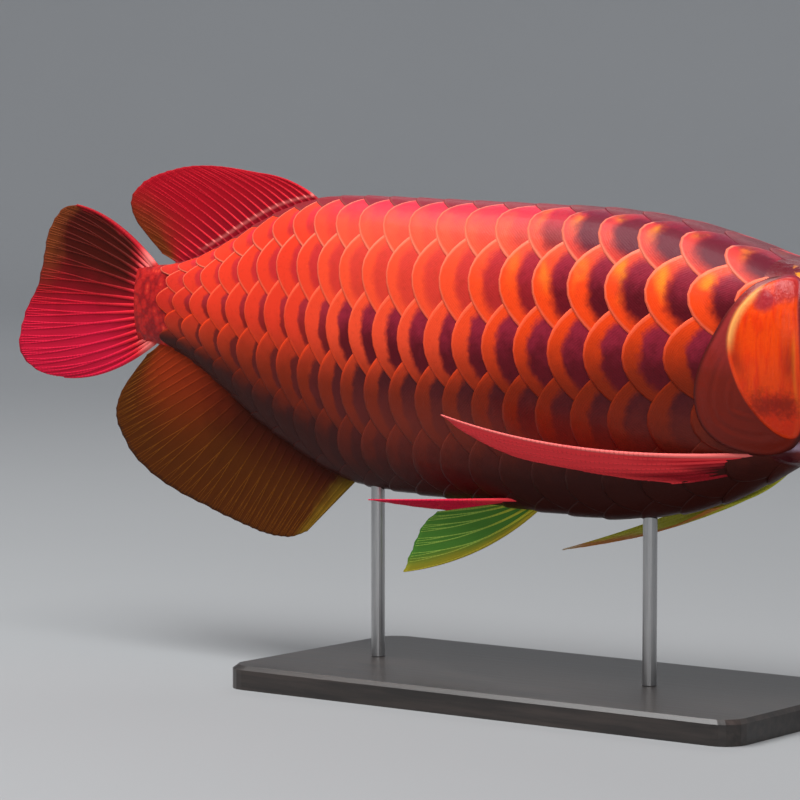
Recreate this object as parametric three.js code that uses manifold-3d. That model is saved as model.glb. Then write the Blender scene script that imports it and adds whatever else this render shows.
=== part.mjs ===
// Asian arowana, life size, still, on a plain display stand.
// Millimetres, +Z up. The fish faces +X and its right flank faces -Y.
// The origin is the centre of the underside of the stand base.
import * as THREE from 'three';
import Module from 'manifold-3d';

const wasm = await Module();
wasm.setup();
const { Manifold, Mesh: SolidMesh } = wasm;

// Overall sizes
const SNOUT_X = 245; // x of the tip of the snout
const AXIS_Z = 189; // height of the middle of the tail stalk
const GAP = 0.3; // clearance between neighbouring nodes
const BODY_END = 503; // end of the tail stalk, behind the snout
const HEAD_END = 120; // nape, where the head meets the trunk
const TRUNK_CUTS = [232, 336, 440]; // cuts between the trunk lengths
const CUT_WIDTH = 0.3;

// Stand
const BASE = { length: 300, width: 140, height: 12, bevel: 2 };
const ROD_RADIUS = 3.5;
const ROD_STATIONS = [185, 350];

// Large overlapping scales: twelve rows round the girth, pitch shrinking to the tail
const SCALES = {
  start: 102.5, // station of the first half column
  halfColumns: 46,
  firstPitch: 25.43,
  shrink: 560, // length over which the pitch falls by e
  bulge: 0.16, // rounding of the free edge, share of the pitch
  frontStep: 1.6, // height of the free edge over the scale behind it
  rearStep: 1,
};
const ROWS = 12;
// Share of the half girth at which each row is centred, from the back to the keel
const ROWS_FRONT = [0, 0.13, 0.3, 0.485, 0.672, 0.86, 1];
const ROWS_REAR = [0, 0.085, 0.222, 0.43, 0.645, 0.855, 1];

// Stations of the body, measured back from the snout:
// back line, belly line, half width, level of the widest point (share of the depth),
// roundness of the upper and the lower half
const STATIONS = [
  { s: 0, top: 14, bottom: 5, half: 5, wide: 0.5, upper: 2, lower: 2 },
  { s: 4, top: 17, bottom: -7, half: 11, wide: 0.5, upper: 2.2, lower: 2 },
  { s: 12, top: 18.3, bottom: -20, half: 16, wide: 0.55, upper: 2.5, lower: 2 },
  { s: 25, top: 19.5, bottom: -33.5, half: 19.5, wide: 0.56, upper: 2.8, lower: 1.9 },
  { s: 45, top: 21.5, bottom: -46, half: 24, wide: 0.57, upper: 2.9, lower: 1.8 },
  { s: 65, top: 23.8, bottom: -54.5, half: 28, wide: 0.57, upper: 2.9, lower: 1.75 },
  { s: 85, top: 27, bottom: -61, half: 31, wide: 0.56, upper: 2.8, lower: 1.75 },
  { s: 105, top: 31, bottom: -67.5, half: 33, wide: 0.56, upper: 2.7, lower: 1.8 },
  { s: 130, top: 39, bottom: -80.5, half: 34.5, wide: 0.57, upper: 2.6, lower: 1.8 },
  { s: 158, top: 46.5, bottom: -90, half: 35.5, wide: 0.58, upper: 2.5, lower: 1.8 },
  { s: 200, top: 52.5, bottom: -96.5, half: 36, wide: 0.58, upper: 2.5, lower: 1.8 },
  { s: 245, top: 54.5, bottom: -96, half: 35, wide: 0.58, upper: 2.5, lower: 1.8 },
  { s: 290, top: 56, bottom: -93.5, half: 32, wide: 0.58, upper: 2.4, lower: 1.8 },
  { s: 336, top: 57.5, bottom: -91, half: 27, wide: 0.57, upper: 2.3, lower: 1.8 },
  { s: 362, top: 58, bottom: -88.5, half: 23.5, wide: 0.56, upper: 2.2, lower: 1.8 },
  { s: 384, top: 57, bottom: -82, half: 20, wide: 0.55, upper: 2.1, lower: 1.8 },
  { s: 407, top: 52, bottom: -71, half: 17, wide: 0.54, upper: 2, lower: 1.8 },
  { s: 428, top: 43.5, bottom: -59.5, half: 14.5, wide: 0.53, upper: 2, lower: 1.8 },
  { s: 448, top: 34, bottom: -45.5, half: 12.5, wide: 0.52, upper: 2, lower: 1.9 },
  { s: 470, top: 25, bottom: -31.5, half: 10, wide: 0.51, upper: 2, lower: 2 },
  { s: 486, top: 21.5, bottom: -24, half: 8, wide: 0.5, upper: 2, lower: 2 },
  { s: 503, top: 20, bottom: -21, half: 5.5, wide: 0.5, upper: 2, lower: 2 },
];

// Smooth curve through rows of values, with the key that runs along it
function curveThrough(rows, along, key) {
  const n = rows.length;
  const x = rows.map((r) => r[along]);
  const y = rows.map((r) => r[key]);
  const slope = x.map((_, i) => {
    const a = Math.max(0, i - 1);
    const b = Math.min(n - 1, i + 1);
    return (y[b] - y[a]) / (x[b] - x[a]);
  });
  return (v) => {
    if (v <= x[0]) return y[0];
    if (v >= x[n - 1]) return y[n - 1];
    let i = 0;
    while (v > x[i + 1]) i += 1;
    const w = x[i + 1] - x[i];
    const t = (v - x[i]) / w;
    const t2 = t * t;
    const t3 = t2 * t;
    return (2 * t3 - 3 * t2 + 1) * y[i] + (t3 - 2 * t2 + t) * w * slope[i]
      + (3 * t2 - 2 * t3) * y[i + 1] + (t3 - t2) * w * slope[i + 1];
  };
}

const PROFILE = {};
for (const key of ['top', 'bottom', 'half', 'wide', 'upper', 'lower']) {
  PROFILE[key] = curveThrough(STATIONS, 's', key);
}

function sectionAt(s) {
  const top = PROFILE.top(s);
  const bottom = PROFILE.bottom(s);
  return {
    top,
    bottom,
    half: PROFILE.half(s),
    middle: bottom + PROFILE.wide(s) * (top - bottom),
    upper: PROFILE.upper(s),
    lower: PROFILE.lower(s),
  };
}

// Half girth of a cross-section as points from the back to the belly
const GIRTH_STEPS = 120;
const girthCache = new Map();
function girthAt(s) {
  if (girthCache.has(s)) return girthCache.get(s);
  const c = sectionAt(s);
  const points = [];
  for (let i = 0; i <= GIRTH_STEPS; i += 1) {
    const a = (Math.PI * i) / GIRTH_STEPS;
    const up = a < Math.PI / 2;
    const n = up ? c.upper : c.lower;
    const reach = up ? c.top - c.middle : c.middle - c.bottom;
    const side = i === 0 || i === GIRTH_STEPS ? 0 : Math.sin(a) ** (2 / n);
    const rise = Math.abs(Math.cos(a)) ** (2 / n);
    points.push([c.half * side, c.middle + (up ? 1 : -1) * reach * rise]);
  }
  const run = [0];
  for (let i = 1; i < points.length; i += 1) {
    run.push(run[i - 1] + Math.hypot(points[i][0] - points[i - 1][0], points[i][1] - points[i - 1][1]));
  }
  const out = { points, run, length: run[run.length - 1] };
  girthCache.set(s, out);
  return out;
}

// Point of the skin at a share of the half girth (0 back, 1 belly), lifted off the skin
function skinPoint(s, share, side, lift) {
  const g = girthAt(s);
  if (share <= 0.0001) return [s, 0, g.points[0][1] + lift];
  if (share >= 0.9999) return [s, 0, g.points[GIRTH_STEPS][1] - lift];
  const target = share * g.length;
  let i = 1;
  while (g.run[i] < target) i += 1;
  const t = (target - g.run[i - 1]) / (g.run[i] - g.run[i - 1]);
  const [y0, z0] = g.points[i - 1];
  const [y1, z1] = g.points[i];
  const a = g.points[Math.max(0, i - 3)];
  const b = g.points[Math.min(GIRTH_STEPS, i + 2)];
  const d = Math.hypot(b[0] - a[0], b[1] - a[1]);
  const ny = -(b[1] - a[1]) / d;
  const nz = (b[0] - a[0]) / d;
  return [s, side * (y0 + (y1 - y0) * t + ny * lift), z0 + (z1 - z0) * t + nz * lift];
}

// Point of the flank seen from the side at station s and level z, lifted off the skin
function flankReach(s, z) {
  const c = sectionAt(s);
  const up = z > c.middle;
  const n = up ? c.upper : c.lower;
  const q = up ? (z - c.middle) / (c.top - c.middle) : (c.middle - z) / (c.middle - c.bottom);
  return c.half * Math.max(0.02, 1 - Math.min(1, q) ** n) ** (1 / n);
}
function flankPoint(s, z, side, lift) {
  const e = 0.5;
  const ds = (flankReach(s + e, z) - flankReach(s - e, z)) / (2 * e);
  const dz = (flankReach(s, z + e) - flankReach(s, z - e)) / (2 * e);
  const d = Math.hypot(1, ds, dz);
  return [s - (ds / d) * lift, side * (flankReach(s, z) + lift / d), z - (dz / d) * lift];
}

// Solids from vertices and faces, in fish coordinates (station, y, level)
class Surface {
  constructor() {
    this.vertices = [];
    this.faces = [];
  }

  add(p) {
    this.vertices.push(SNOUT_X - p[0], p[1], AXIS_Z + p[2]);
    return this.vertices.length / 3 - 1;
  }

  face(...ids) {
    const ring = ids.filter((id, i) => id !== ids[(i + 1) % ids.length]);
    for (let i = 1; i + 1 < ring.length; i += 1) this.faces.push([ring[0], ring[i], ring[i + 1]]);
  }

  solid() {
    const make = (faces) => new Manifold(new SolidMesh({
      numProp: 3,
      vertProperties: Float32Array.from(this.vertices),
      triVerts: Uint32Array.from(faces.flat()),
    }));
    const first = make(this.faces);
    if (first.volume() > 0) return first;
    return make(this.faces.map(([a, b, c]) => [a, c, b]));
  }
}

// Closed loft through rings with equal numbers of points
function loft(rings) {
  const surface = new Surface();
  const ids = rings.map((ring) => ring.map((p) => surface.add(p)));
  const n = rings[0].length;
  for (let i = 0; i + 1 < ids.length; i += 1) {
    for (let k = 0; k < n; k += 1) {
      const m = (k + 1) % n;
      surface.face(ids[i][k], ids[i][m], ids[i + 1][m]);
      surface.face(ids[i][k], ids[i + 1][m], ids[i + 1][k]);
    }
  }
  const centre = (ring) => ring.reduce((a, p) => a.map((v, i) => v + p[i] / ring.length), [0, 0, 0]);
  const first = surface.add(centre(rings[0]));
  const last = surface.add(centre(rings[rings.length - 1]));
  for (let k = 0; k < n; k += 1) {
    const m = (k + 1) % n;
    surface.face(first, ids[0][m], ids[0][k]);
    surface.face(last, ids[ids.length - 1][k], ids[ids.length - 1][m]);
  }
  return surface.solid();
}

function largest(solid) {
  const parts = solid.decompose();
  return parts.reduce((a, b) => (b.volume() > a.volume() ? b : a));
}

// Upright prism across the fish, from a side outline of [station, level] points
function prism(outline, from, to) {
  return loft([from, to].map((y) => outline.map(([s, z]) => [s, y, z])));
}

function slab(from, to) {
  return prism([[from, -200], [to, -200], [to, 200], [from, 200]], -100, 100);
}

// Scale lattice: station of a half column, and the skin at a row position round the girth
const columnStation = (h) => SCALES.start
  + SCALES.shrink * Math.log(1 + (h * SCALES.firstPitch) / (2 * SCALES.shrink));
const pitchAt = (s) => SCALES.firstPitch * Math.exp((SCALES.start - s) / SCALES.shrink);

function rowPoint(s, row, lift) {
  const around = (row + ROWS) % ROWS;
  const side = around <= ROWS / 2 ? 1 : -1;
  const down = side > 0 ? around : ROWS - around;
  const i = Math.min(ROWS / 2 - 1, Math.floor(down));
  const t = down - i;
  const along = Math.min(1, Math.max(0, (s - 300) / 170));
  const at = (k) => ROWS_FRONT[k] + (ROWS_REAR[k] - ROWS_FRONT[k]) * along;
  return skinPoint(s, at(i) + (at(i + 1) - at(i)) * t, side, lift);
}

// Trunk with every scale as a raised plate: its front edge lies under the scale ahead
function scaledBody(grow) {
  const surface = new Surface();
  const last = SCALES.halfColumns;
  const step = (s) => SCALES.frontStep
    + ((SCALES.rearStep - SCALES.frontStep) * (s - SCALES.start)) / (BODY_END - SCALES.start);
  const place = (s, row, share) => surface.add(rowPoint(s, row, grow + share * step(s)));
  // Corner between row b and the next: vertices of the upper, the middle and the lower scale
  const corner = [];
  // Middle of a free edge: vertices of the upper and the lower scale
  const crest = [];
  for (let h = 0; h <= last; h += 1) {
    const s = columnStation(h) + grow;
    const end = h === 0 || h === last;
    corner.push([]);
    crest.push([]);
    for (let b = 0; b < ROWS; b += 1) {
      const row = b + ((h + b) % 2 === 0 ? 2 / 3 : 1 / 3);
      if (end) {
        const id = place(s, row, 0.2);
        corner[h].push({ up: id, mid: id, low: id });
      } else {
        corner[h].push({ up: place(s, row, 1), mid: place(s, row, 0.5), low: place(s, row, 0) });
      }
      const edge = s + SCALES.bulge * pitchAt(s);
      crest[h].push(end || (h + b) % 2 === 0 ? null : { up: place(edge, b, 1), low: place(edge, b, 0) });
    }
  }
  for (let row = 0; row < ROWS; row += 1) {
    const above = (row + ROWS - 1) % ROWS;
    for (let c = row % 2; c <= last; c += 2) {
      const rim = [];
      rim.push(corner[c][above].mid);
      if (c > 0) {
        rim.push(corner[c - 1][above].low);
        if (crest[c - 1][row]) rim.push(crest[c - 1][row].low);
        rim.push(corner[c - 1][row].low);
      }
      rim.push(corner[c][row].mid);
      if (c < last) {
        rim.push(corner[c + 1][row].up);
        if (crest[c + 1][row]) rim.push(crest[c + 1][row].up);
        rim.push(corner[c + 1][above].up);
      }
      const from = columnStation(Math.max(0, c - 1));
      const to = columnStation(Math.min(last, c + 1));
      const hub = place((from + to) / 2 + grow, row, 0.62);
      rim.forEach((id, i) => surface.face(hub, id, rim[(i + 1) % rim.length]));
      if (c < last) {
        const a = corner[c][above];
        const b = corner[c + 1][above];
        const d = corner[c + 1][row];
        const e = corner[c][row];
        const f = crest[c + 1][row];
        surface.face(a.mid, b.up, b.mid, a.low);
        surface.face(d.up, e.mid, e.low, d.mid);
        if (f) {
          surface.face(b.up, f.up, f.low, b.low, b.mid);
          surface.face(f.up, d.up, d.mid, d.low, f.low);
        }
      }
    }
  }
  const front = surface.add([columnStation(0), 0, 0]);
  const rear = surface.add([BODY_END + grow, 0, 0]);
  for (let b = 0; b < ROWS; b += 1) {
    const above = (b + ROWS - 1) % ROWS;
    surface.face(corner[0][b].low, corner[0][above].low, front);
    surface.face(corner[last][above].low, corner[last][b].low, rear);
  }
  return surface.solid();
}

// Head loft with stations closer together towards the snout
const AROUND = 13;
function headLoft(lift) {
  const rings = [];
  const steps = 13;
  for (let i = 0; i <= steps; i += 1) {
    const s = HEAD_END * (i / steps) ** 1.5;
    const ring = [];
    for (let k = 0; k < 2 * AROUND; k += 1) {
      const side = k <= AROUND ? 1 : -1;
      const share = k <= AROUND ? k / AROUND : (2 * AROUND - k) / AROUND;
      ring.push(skinPoint(s, share, side, lift));
    }
    rings.push(ring);
  }
  return loft(rings);
}

// Closed curve through a few side-view points
function closedOutline(points, count) {
  const n = points.length;
  const out = [];
  for (let i = 0; i < count; i += 1) {
    const v = (i / count) * n;
    const k = Math.floor(v);
    const t = v - k;
    const p = [-1, 0, 1, 2].map((o) => points[(k + o + n) % n]);
    out.push([0, 1].map((a) => 0.5 * (2 * p[1][a] + (p[2][a] - p[0][a]) * t
      + (2 * p[0][a] - 5 * p[1][a] + 4 * p[2][a] - p[3][a]) * t * t
      + (3 * p[1][a] - p[0][a] - 3 * p[2][a] + p[3][a]) * t * t * t)));
  }
  return out;
}

// Bony plate that lies on the flank inside an outline: raised by lift, let in by sink
function plate(points, side, { count, lift, rim, sink, dome = 0, grow = 0 }) {
  const outline = closedOutline(points, count);
  const centre = outline.reduce((a, p) => [a[0] + p[0] / count, a[1] + p[1] / count], [0, 0]);
  const surface = new Surface();
  const ring = (share, height) => outline.map(([s, z]) => {
    const d = Math.hypot(s - centre[0], z - centre[1]);
    const r = share * (1 + grow / d);
    return surface.add(flankPoint(centre[0] + (s - centre[0]) * r, centre[1] + (z - centre[1]) * r, side, height));
  });
  const top = lift + grow;
  const edge = rim + grow;
  const under = -sink - grow;
  const rows = [ring(0.84, top), ring(1, edge), ring(1, under)];
  if (dome) {
    rows.unshift(ring(0.5, top));
    rows.push(ring(0.55, under));
  }
  const first = surface.add(flankPoint(centre[0], centre[1], side, top));
  const last = surface.add(flankPoint(centre[0], centre[1], side, under));
  const end = rows.length - 1;
  for (let k = 0; k < count; k += 1) {
    const m = (k + 1) % count;
    surface.face(first, rows[0][k], rows[0][m]);
    surface.face(last, rows[end][m], rows[end][k]);
    for (let i = 0; i < end; i += 1) {
      surface.face(rows[i][k], rows[i + 1][k], rows[i + 1][m]);
      surface.face(rows[i][k], rows[i + 1][m], rows[i][m]);
    }
  }
  return surface.solid();
}

// Open curve through a few points
function openCurve(points, u) {
  const n = points.length - 1;
  const v = Math.min(0.999999, Math.max(0, u)) * n;
  const k = Math.floor(v);
  const t = v - k;
  const p = [-1, 0, 1, 2].map((o) => points[Math.min(n, Math.max(0, k + o))]);
  return p[1].map((_, a) => 0.5 * (2 * p[1][a] + (p[2][a] - p[0][a]) * t
    + (2 * p[0][a] - 5 * p[1][a] + 4 * p[2][a] - p[3][a]) * t * t
    + (3 * p[1][a] - p[0][a] - 3 * p[2][a] + p[3][a]) * t * t * t));
}

// Long narrow plate along a side-view path of station, level and width
function band(path, side, { steps, lift, rim, sink }) {
  const rings = [];
  for (let i = 0; i <= steps; i += 1) {
    const [s, z, width] = openCurve(path, i / steps);
    const a = openCurve(path, i / steps - 0.02);
    const b = openCurve(path, i / steps + 0.02);
    const d = Math.hypot(b[0] - a[0], b[1] - a[1]);
    const across = [-(b[1] - a[1]) / d, (b[0] - a[0]) / d];
    const at = (share, height) => flankPoint(
      s + (across[0] * share * width) / 2,
      z + (across[1] * share * width) / 2,
      side,
      height,
    );
    rings.push([at(-1, rim), at(-0.6, lift), at(0.6, lift), at(1, rim), at(1, -sink), at(-1, -sink)]);
  }
  return loft(rings);
}

// Bands and plates of the head, seen from the side
const BANDS = {
  maxilla: [[6, 13.5, 3], [13, 6, 6], [26, -6, 8], [40, -19, 9.5], [50, -28.5, 10], [56, -34, 5]],
  preopercle: [[82.5, 22, 2], [80, 12, 3], [79.2, -8, 3.4], [80, -28, 4.5], [83.5, -43, 7], [91, -54, 4]],
  lowerLip: [[3, 8, 4], [12, -2, 5], [26, -15, 5.5], [39, -27, 5], [48, -35, 2.5]],
};
const PLATES = {
  eyeRim: [[52.5, 5], [49, 14.5], [39, 18], [28, 14.5], [25, 4], [29, -6], [39, -9.5], [49, -5.5]],
  cheekUpper: [[54, 15], [65, 17], [78.5, 17], [77, 4], [76.5, -9], [65, -9], [53.5, -8], [56, 4]],
  cheekLower: [[51, -10], [64, -11], [76, -11.5], [76.5, -24], [78.5, -38], [70, -42], [63, -34], [55, -22]],
  opercle: [[90, 21], [86, 4], [85, -18], [88, -38], [95, -48], [105, -45.5], [113, -34], [116.5, -20],
    [115, -6], [109, 8], [100.5, 18]],
};

// Head
const GILL_OUTLINE = [
  [88, 20], [83, 2], [82, -18], [85, -38], [93, -52], [109, -60],
  [127, -57], [136, -48], [137, -35], [131, -21], [122, -7], [112, 8], [101, 19],
];
const GILL = { count: 28, lift: 1.9, rim: 1.6, sink: 2.2, dome: 1 };
const MOUTH = [[-6, 12.5], [2, 12], [12, 2], [26, -11], [40, -24], [50, -33], [63, -60], [66, -90], [-6, -90]];
const EYE = { s: 39, z: 4.5, radius: 10.5, depth: 6 };

function ellipsoid(centre, radii, across, around) {
  const rings = [];
  for (let i = 1; i < across; i += 1) {
    const a = (Math.PI * i) / across;
    const ring = [];
    for (let k = 0; k < around; k += 1) {
      const b = (2 * Math.PI * k) / around;
      ring.push([
        centre[0] + radii[0] * Math.sin(a) * Math.cos(b),
        centre[1] + radii[1] * Math.cos(a),
        centre[2] + radii[2] * Math.sin(a) * Math.sin(b),
      ]);
    }
    rings.push(ring);
  }
  return loft(rings);
}

function eyeSolid(side, grow) {
  const centre = flankPoint(EYE.s, EYE.z, side, -2.5);
  const r = EYE.radius + grow;
  return ellipsoid(centre, [r, EYE.depth + grow, r], 7, 20);
}

const gillCover = (side, grow) => plate(GILL_OUTLINE, side, { ...GILL, grow })
  .add(plate(PLATES.opercle, side, { count: 20, lift: 3.1, rim: 2.4, sink: 1, dome: 1, grow }));

const bodyGrown = scaledBody(GAP);

// Nostril: a low ring in front of the eye
const NOSTRIL = { s: 17, z: 15.5, radius: 2.4, hole: 1.1, height: 1.3 };
function nostril(side, radius, height) {
  const c = flankPoint(NOSTRIL.s, NOSTRIL.z, side, 0);
  const out = flankPoint(NOSTRIL.s, NOSTRIL.z, side, 1).map((v, i) => v - c[i]);
  const axis = new THREE.Vector3(...out).normalize();
  const across = new THREE.Vector3(1, 0, 0).cross(axis).normalize();
  const along = axis.clone().cross(across);
  const ring = (r, h) => Array.from({ length: 12 }, (_, k) => {
    const a = (2 * Math.PI * k) / 12;
    const p = new THREE.Vector3(...c).addScaledVector(across, r * Math.cos(a))
      .addScaledVector(along, r * Math.sin(a)).addScaledVector(axis, h);
    return [p.x, p.y, p.z];
  });
  return loft([ring(radius * 1.25, -2), ring(radius, height)]);
}

let head = headLoft(0);
for (const side of [-1, 1]) {
  head = head.add(band(BANDS.maxilla, side, { steps: 10, lift: 1.5, rim: 0.7, sink: 1.5 }))
    .add(plate(PLATES.eyeRim, side, { count: 16, lift: 1, rim: 0.4, sink: 1.5 }))
    .add(plate(PLATES.cheekUpper, side, { count: 12, lift: 0.9, rim: 0.4, sink: 1.5 }))
    .add(plate(PLATES.cheekLower, side, { count: 12, lift: 1, rim: 0.4, sink: 1.5 }))
    .add(band(BANDS.preopercle, side, { steps: 9, lift: 1.4, rim: 0.7, sink: 1.5 }))
    .add(nostril(side, NOSTRIL.radius, NOSTRIL.height))
    .subtract(nostril(side, NOSTRIL.hole, NOSTRIL.height + 1))
    .subtract(gillCover(side, GAP))
    .subtract(eyeSolid(side, GAP));
}
const jawBlock = prism(MOUTH, -60, 60);
const jawBlockGrown = prism(MOUTH.map(([s, z]) => [s + (s > 0 ? 0.2 : 0), z + (z > -80 ? 0.25 : 0)]), -60, 60);
// Lower lip: a raised band along the gape, from one corner round the tip to the other
let mandible = headLoft(0);
for (const side of [-1, 1]) {
  mandible = mandible.add(band(BANDS.lowerLip, side, { steps: 9, lift: 1.3, rim: 0.6, sink: 1.5 }));
}
const lowerJaw = largest(mandible.intersect(jawBlock));
head = largest(head.subtract(jawBlockGrown));

// Barbel: a tapering feeler bent along a curve through points
function tubeAlong(points, radii, around) {
  const curve = new THREE.CatmullRomCurve3(points.map((p) => new THREE.Vector3(...p)));
  const steps = radii.length - 1;
  const frames = curve.computeFrenetFrames(steps, false);
  const rings = radii.map((radius, i) => {
    const p = curve.getPointAt(i / steps);
    const ring = [];
    for (let k = 0; k < around; k += 1) {
      const a = (2 * Math.PI * k) / around;
      const d = frames.normals[i].clone().multiplyScalar(Math.cos(a) * radius)
        .addScaledVector(frames.binormals[i], Math.sin(a) * radius);
      ring.push([p.x + d.x, p.y + d.y, p.z + d.z]);
    }
    return ring;
  });
  return loft(rings);
}
const BARBEL = [[3, 4.5, 4], [-7, 7, 3], [-19, 11, 7], [-28, 14, 16]];
const barbel = (side) => largest(tubeAlong(BARBEL.map(([s, y, z]) => [s, side * y, z]),
  [1.7, 1.6, 1.5, 1.4, 1.3, 1.15, 1, 0.8, 0.55], 10).subtract(headLoft(GAP)));

// Fins: a sheet with front and back faces, thicker along each ray
function finSheet({ columns, rows, middle, thickness }) {
  const surface = new Surface();
  const at = (i, j) => middle(i / columns, j / rows);
  const grids = [[], []];
  for (let i = 0; i <= columns; i += 1) {
    grids[0].push([]);
    grids[1].push([]);
    for (let j = 0; j <= rows; j += 1) {
      const u = i / columns;
      const v = j / rows;
      const e = 0.01;
      const a = middle(Math.min(1, u + e), v).map((c, n) => c - middle(Math.max(0, u - e), v)[n]);
      const b = middle(u, Math.min(1, v + e)).map((c, n) => c - middle(u, Math.max(0, v - e))[n]);
      const normal = new THREE.Vector3(...a).cross(new THREE.Vector3(...b)).normalize();
      const half = thickness(u, v, i % 2 === 0) / 2;
      const p = at(i, j);
      grids[0][i].push(surface.add([p[0] + normal.x * half, p[1] + normal.y * half, p[2] + normal.z * half]));
      grids[1][i].push(surface.add([p[0] - normal.x * half, p[1] - normal.y * half, p[2] - normal.z * half]));
    }
  }
  const [f, g] = grids;
  for (let i = 0; i < columns; i += 1) {
    for (let j = 0; j < rows; j += 1) {
      surface.face(f[i][j], f[i + 1][j], f[i + 1][j + 1]);
      surface.face(f[i][j], f[i + 1][j + 1], f[i][j + 1]);
      surface.face(g[i][j], g[i + 1][j + 1], g[i + 1][j]);
      surface.face(g[i][j], g[i][j + 1], g[i + 1][j + 1]);
    }
    surface.face(f[i][0], g[i][0], g[i + 1][0]);
    surface.face(f[i][0], g[i + 1][0], f[i + 1][0]);
    surface.face(f[i][rows], g[i + 1][rows], g[i][rows]);
    surface.face(f[i][rows], f[i + 1][rows], g[i + 1][rows]);
  }
  for (let j = 0; j < rows; j += 1) {
    surface.face(f[0][j], g[0][j + 1], g[0][j]);
    surface.face(f[0][j], f[0][j + 1], g[0][j + 1]);
    surface.face(f[columns][j], g[columns][j], g[columns][j + 1]);
    surface.face(f[columns][j], g[columns][j + 1], f[columns][j + 1]);
  }
  return surface.solid();
}

// Fin from a root line, a line of ray tips and the bow of its rays
function fin({ columns, rows, root, tips, bow, wave = 0, rays, web, edge }) {
  const middle = (u, v) => {
    const a = root(u);
    const b = openCurve(tips, u);
    const p = a.map((c, n) => c + (b[n] - c) * v);
    const lift = 4 * v * (1 - v);
    const w = bow(u);
    return [p[0] + lift * w[0], p[1] + lift * w[1] + wave * v * v * Math.sin(2 * Math.PI * u), p[2] + lift * w[2]];
  };
  const notched = (u, v) => {
    const between = Math.abs(Math.sin((Math.PI * u * columns) / 2));
    return middle(u, v * (1 - 0.02 * between));
  };
  const thickness = (u, v, isRay) => (isRay ? rays : web) * (1 - v) + (isRay ? edge * 1.5 : edge) * v;
  return finSheet({ columns, rows, middle: notched, thickness });
}

const flat = (points) => points.map(([s, z]) => [s, 0, z]);
const lerp = (a, b, t) => a + (b - a) * t;

const DORSAL = {
  start: 385,
  end: 479,
  tips: flat([[399, 62], [430, 69], [456, 73], [474, 73], [492, 70], [508, 64], [517, 56], [514, 47],
    [507, 38], [495, 27]]),
};
const ANAL = {
  start: 362,
  end: 493,
  tips: flat([[367, -96], [382, -107], [396, -116], [410, -120], [424, -119], [448, -112], [480, -102],
    [502, -92], [520, -78], [528, -66], [528, -56], [522, -46], [513, -36], [504, -27]]),
};
const CAUDAL = {
  top: 18.5,
  bottom: -19,
  tips: flat([[556, 52], [567, 50.5], [575, 44], [581, 34], [583, 22], [586, 8], [591, -2], [596, -13],
    [599, -25], [593, -35], [582, -42], [566, -44]]),
};

const dorsalFin = fin({
  columns: 32,
  rows: 4,
  root: (u) => {
    const s = lerp(DORSAL.start, DORSAL.end, u);
    return [s, 0, PROFILE.top(s) - 4];
  },
  tips: DORSAL.tips,
  bow: (u) => [-2, 0, 3 * (1 - u)],
  rays: 2.6,
  web: 1.1,
  edge: 0.65,
}).subtract(bodyGrown);

const analFin = fin({
  columns: 50,
  rows: 3,
  root: (u) => {
    const s = lerp(ANAL.start, ANAL.end, u);
    return [s, 0, PROFILE.bottom(s) + 4];
  },
  tips: ANAL.tips,
  bow: (u) => [-2, 0, -3 * (1 - u)],
  rays: 2.6,
  web: 1.1,
  edge: 0.65,
}).subtract(bodyGrown);

const caudalFin = fin({
  columns: 30,
  rows: 5,
  root: (u) => [BODY_END + GAP, 0, lerp(CAUDAL.top, CAUDAL.bottom, u)],
  tips: CAUDAL.tips,
  bow: (u) => [0, 0, 6 * (1 - 2 * u)],
  wave: 3,
  rays: 5,
  web: 3,
  edge: 0.65,
});

// Paired fins: root from the leading to the trailing ray, then the ray tips in the same order
const PECTORAL = {
  right: {
    root: [[99, -14, -56], [109, -10, -63]],
    tips: [[272, -52, -48], [263, -45, -55], [243, -36, -65], [216, -28, -74], [190, -21, -80], [168, -17, -81]],
    bow: [0, -12, 0],
  },
  left: {
    root: [[99, 14, -56], [109, 10, -63]],
    tips: [[263, 39, -120], [252, 35, -118], [232, 29, -114], [206, 24, -108], [182, 20, -100], [164, 17, -92]],
    bow: [0, 10, -4],
  },
};
const PELVIC = {
  right: {
    root: [[247, -4, -90], [258, -3, -90]],
    tips: [[332, -32, -93], [325, -23, -95], [313, -15, -97], [300, -10, -98]],
    bow: [0, -4, 0],
  },
  left: {
    root: [[247, 4, -90], [258, 3, -90]],
    tips: [[337, 4, -133], [331, 4, -120], [324, 3.5, -108], [315, 3, -101]],
    bow: [0, 3, -3],
  },
};

function pairedFin(spec, columns, rows, thick) {
  return fin({
    columns,
    rows,
    root: (u) => openCurve(spec.root, u),
    tips: spec.tips,
    bow: () => spec.bow,
    rays: thick,
    web: thick * 0.45,
    edge: 0.65,
  });
}
const gills = gillCover(-1, GAP).add(gillCover(1, GAP));
const headGrown = headLoft(GAP);
const paired = (spec, columns, rows, thick) => largest(
  pairedFin(spec, columns, rows, thick).subtract(bodyGrown).subtract(gills).subtract(headGrown),
);

// Trunk lengths
const body = scaledBody(0).subtract(gills);
const marks = [HEAD_END + CUT_WIDTH / 2, ...TRUNK_CUTS, BODY_END + 5];
const trunk = [0, 1, 2, 3].map((i) => largest(
  body.intersect(slab(marks[i] + CUT_WIDTH / 2, marks[i + 1] - CUT_WIDTH / 2)),
));

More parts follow.
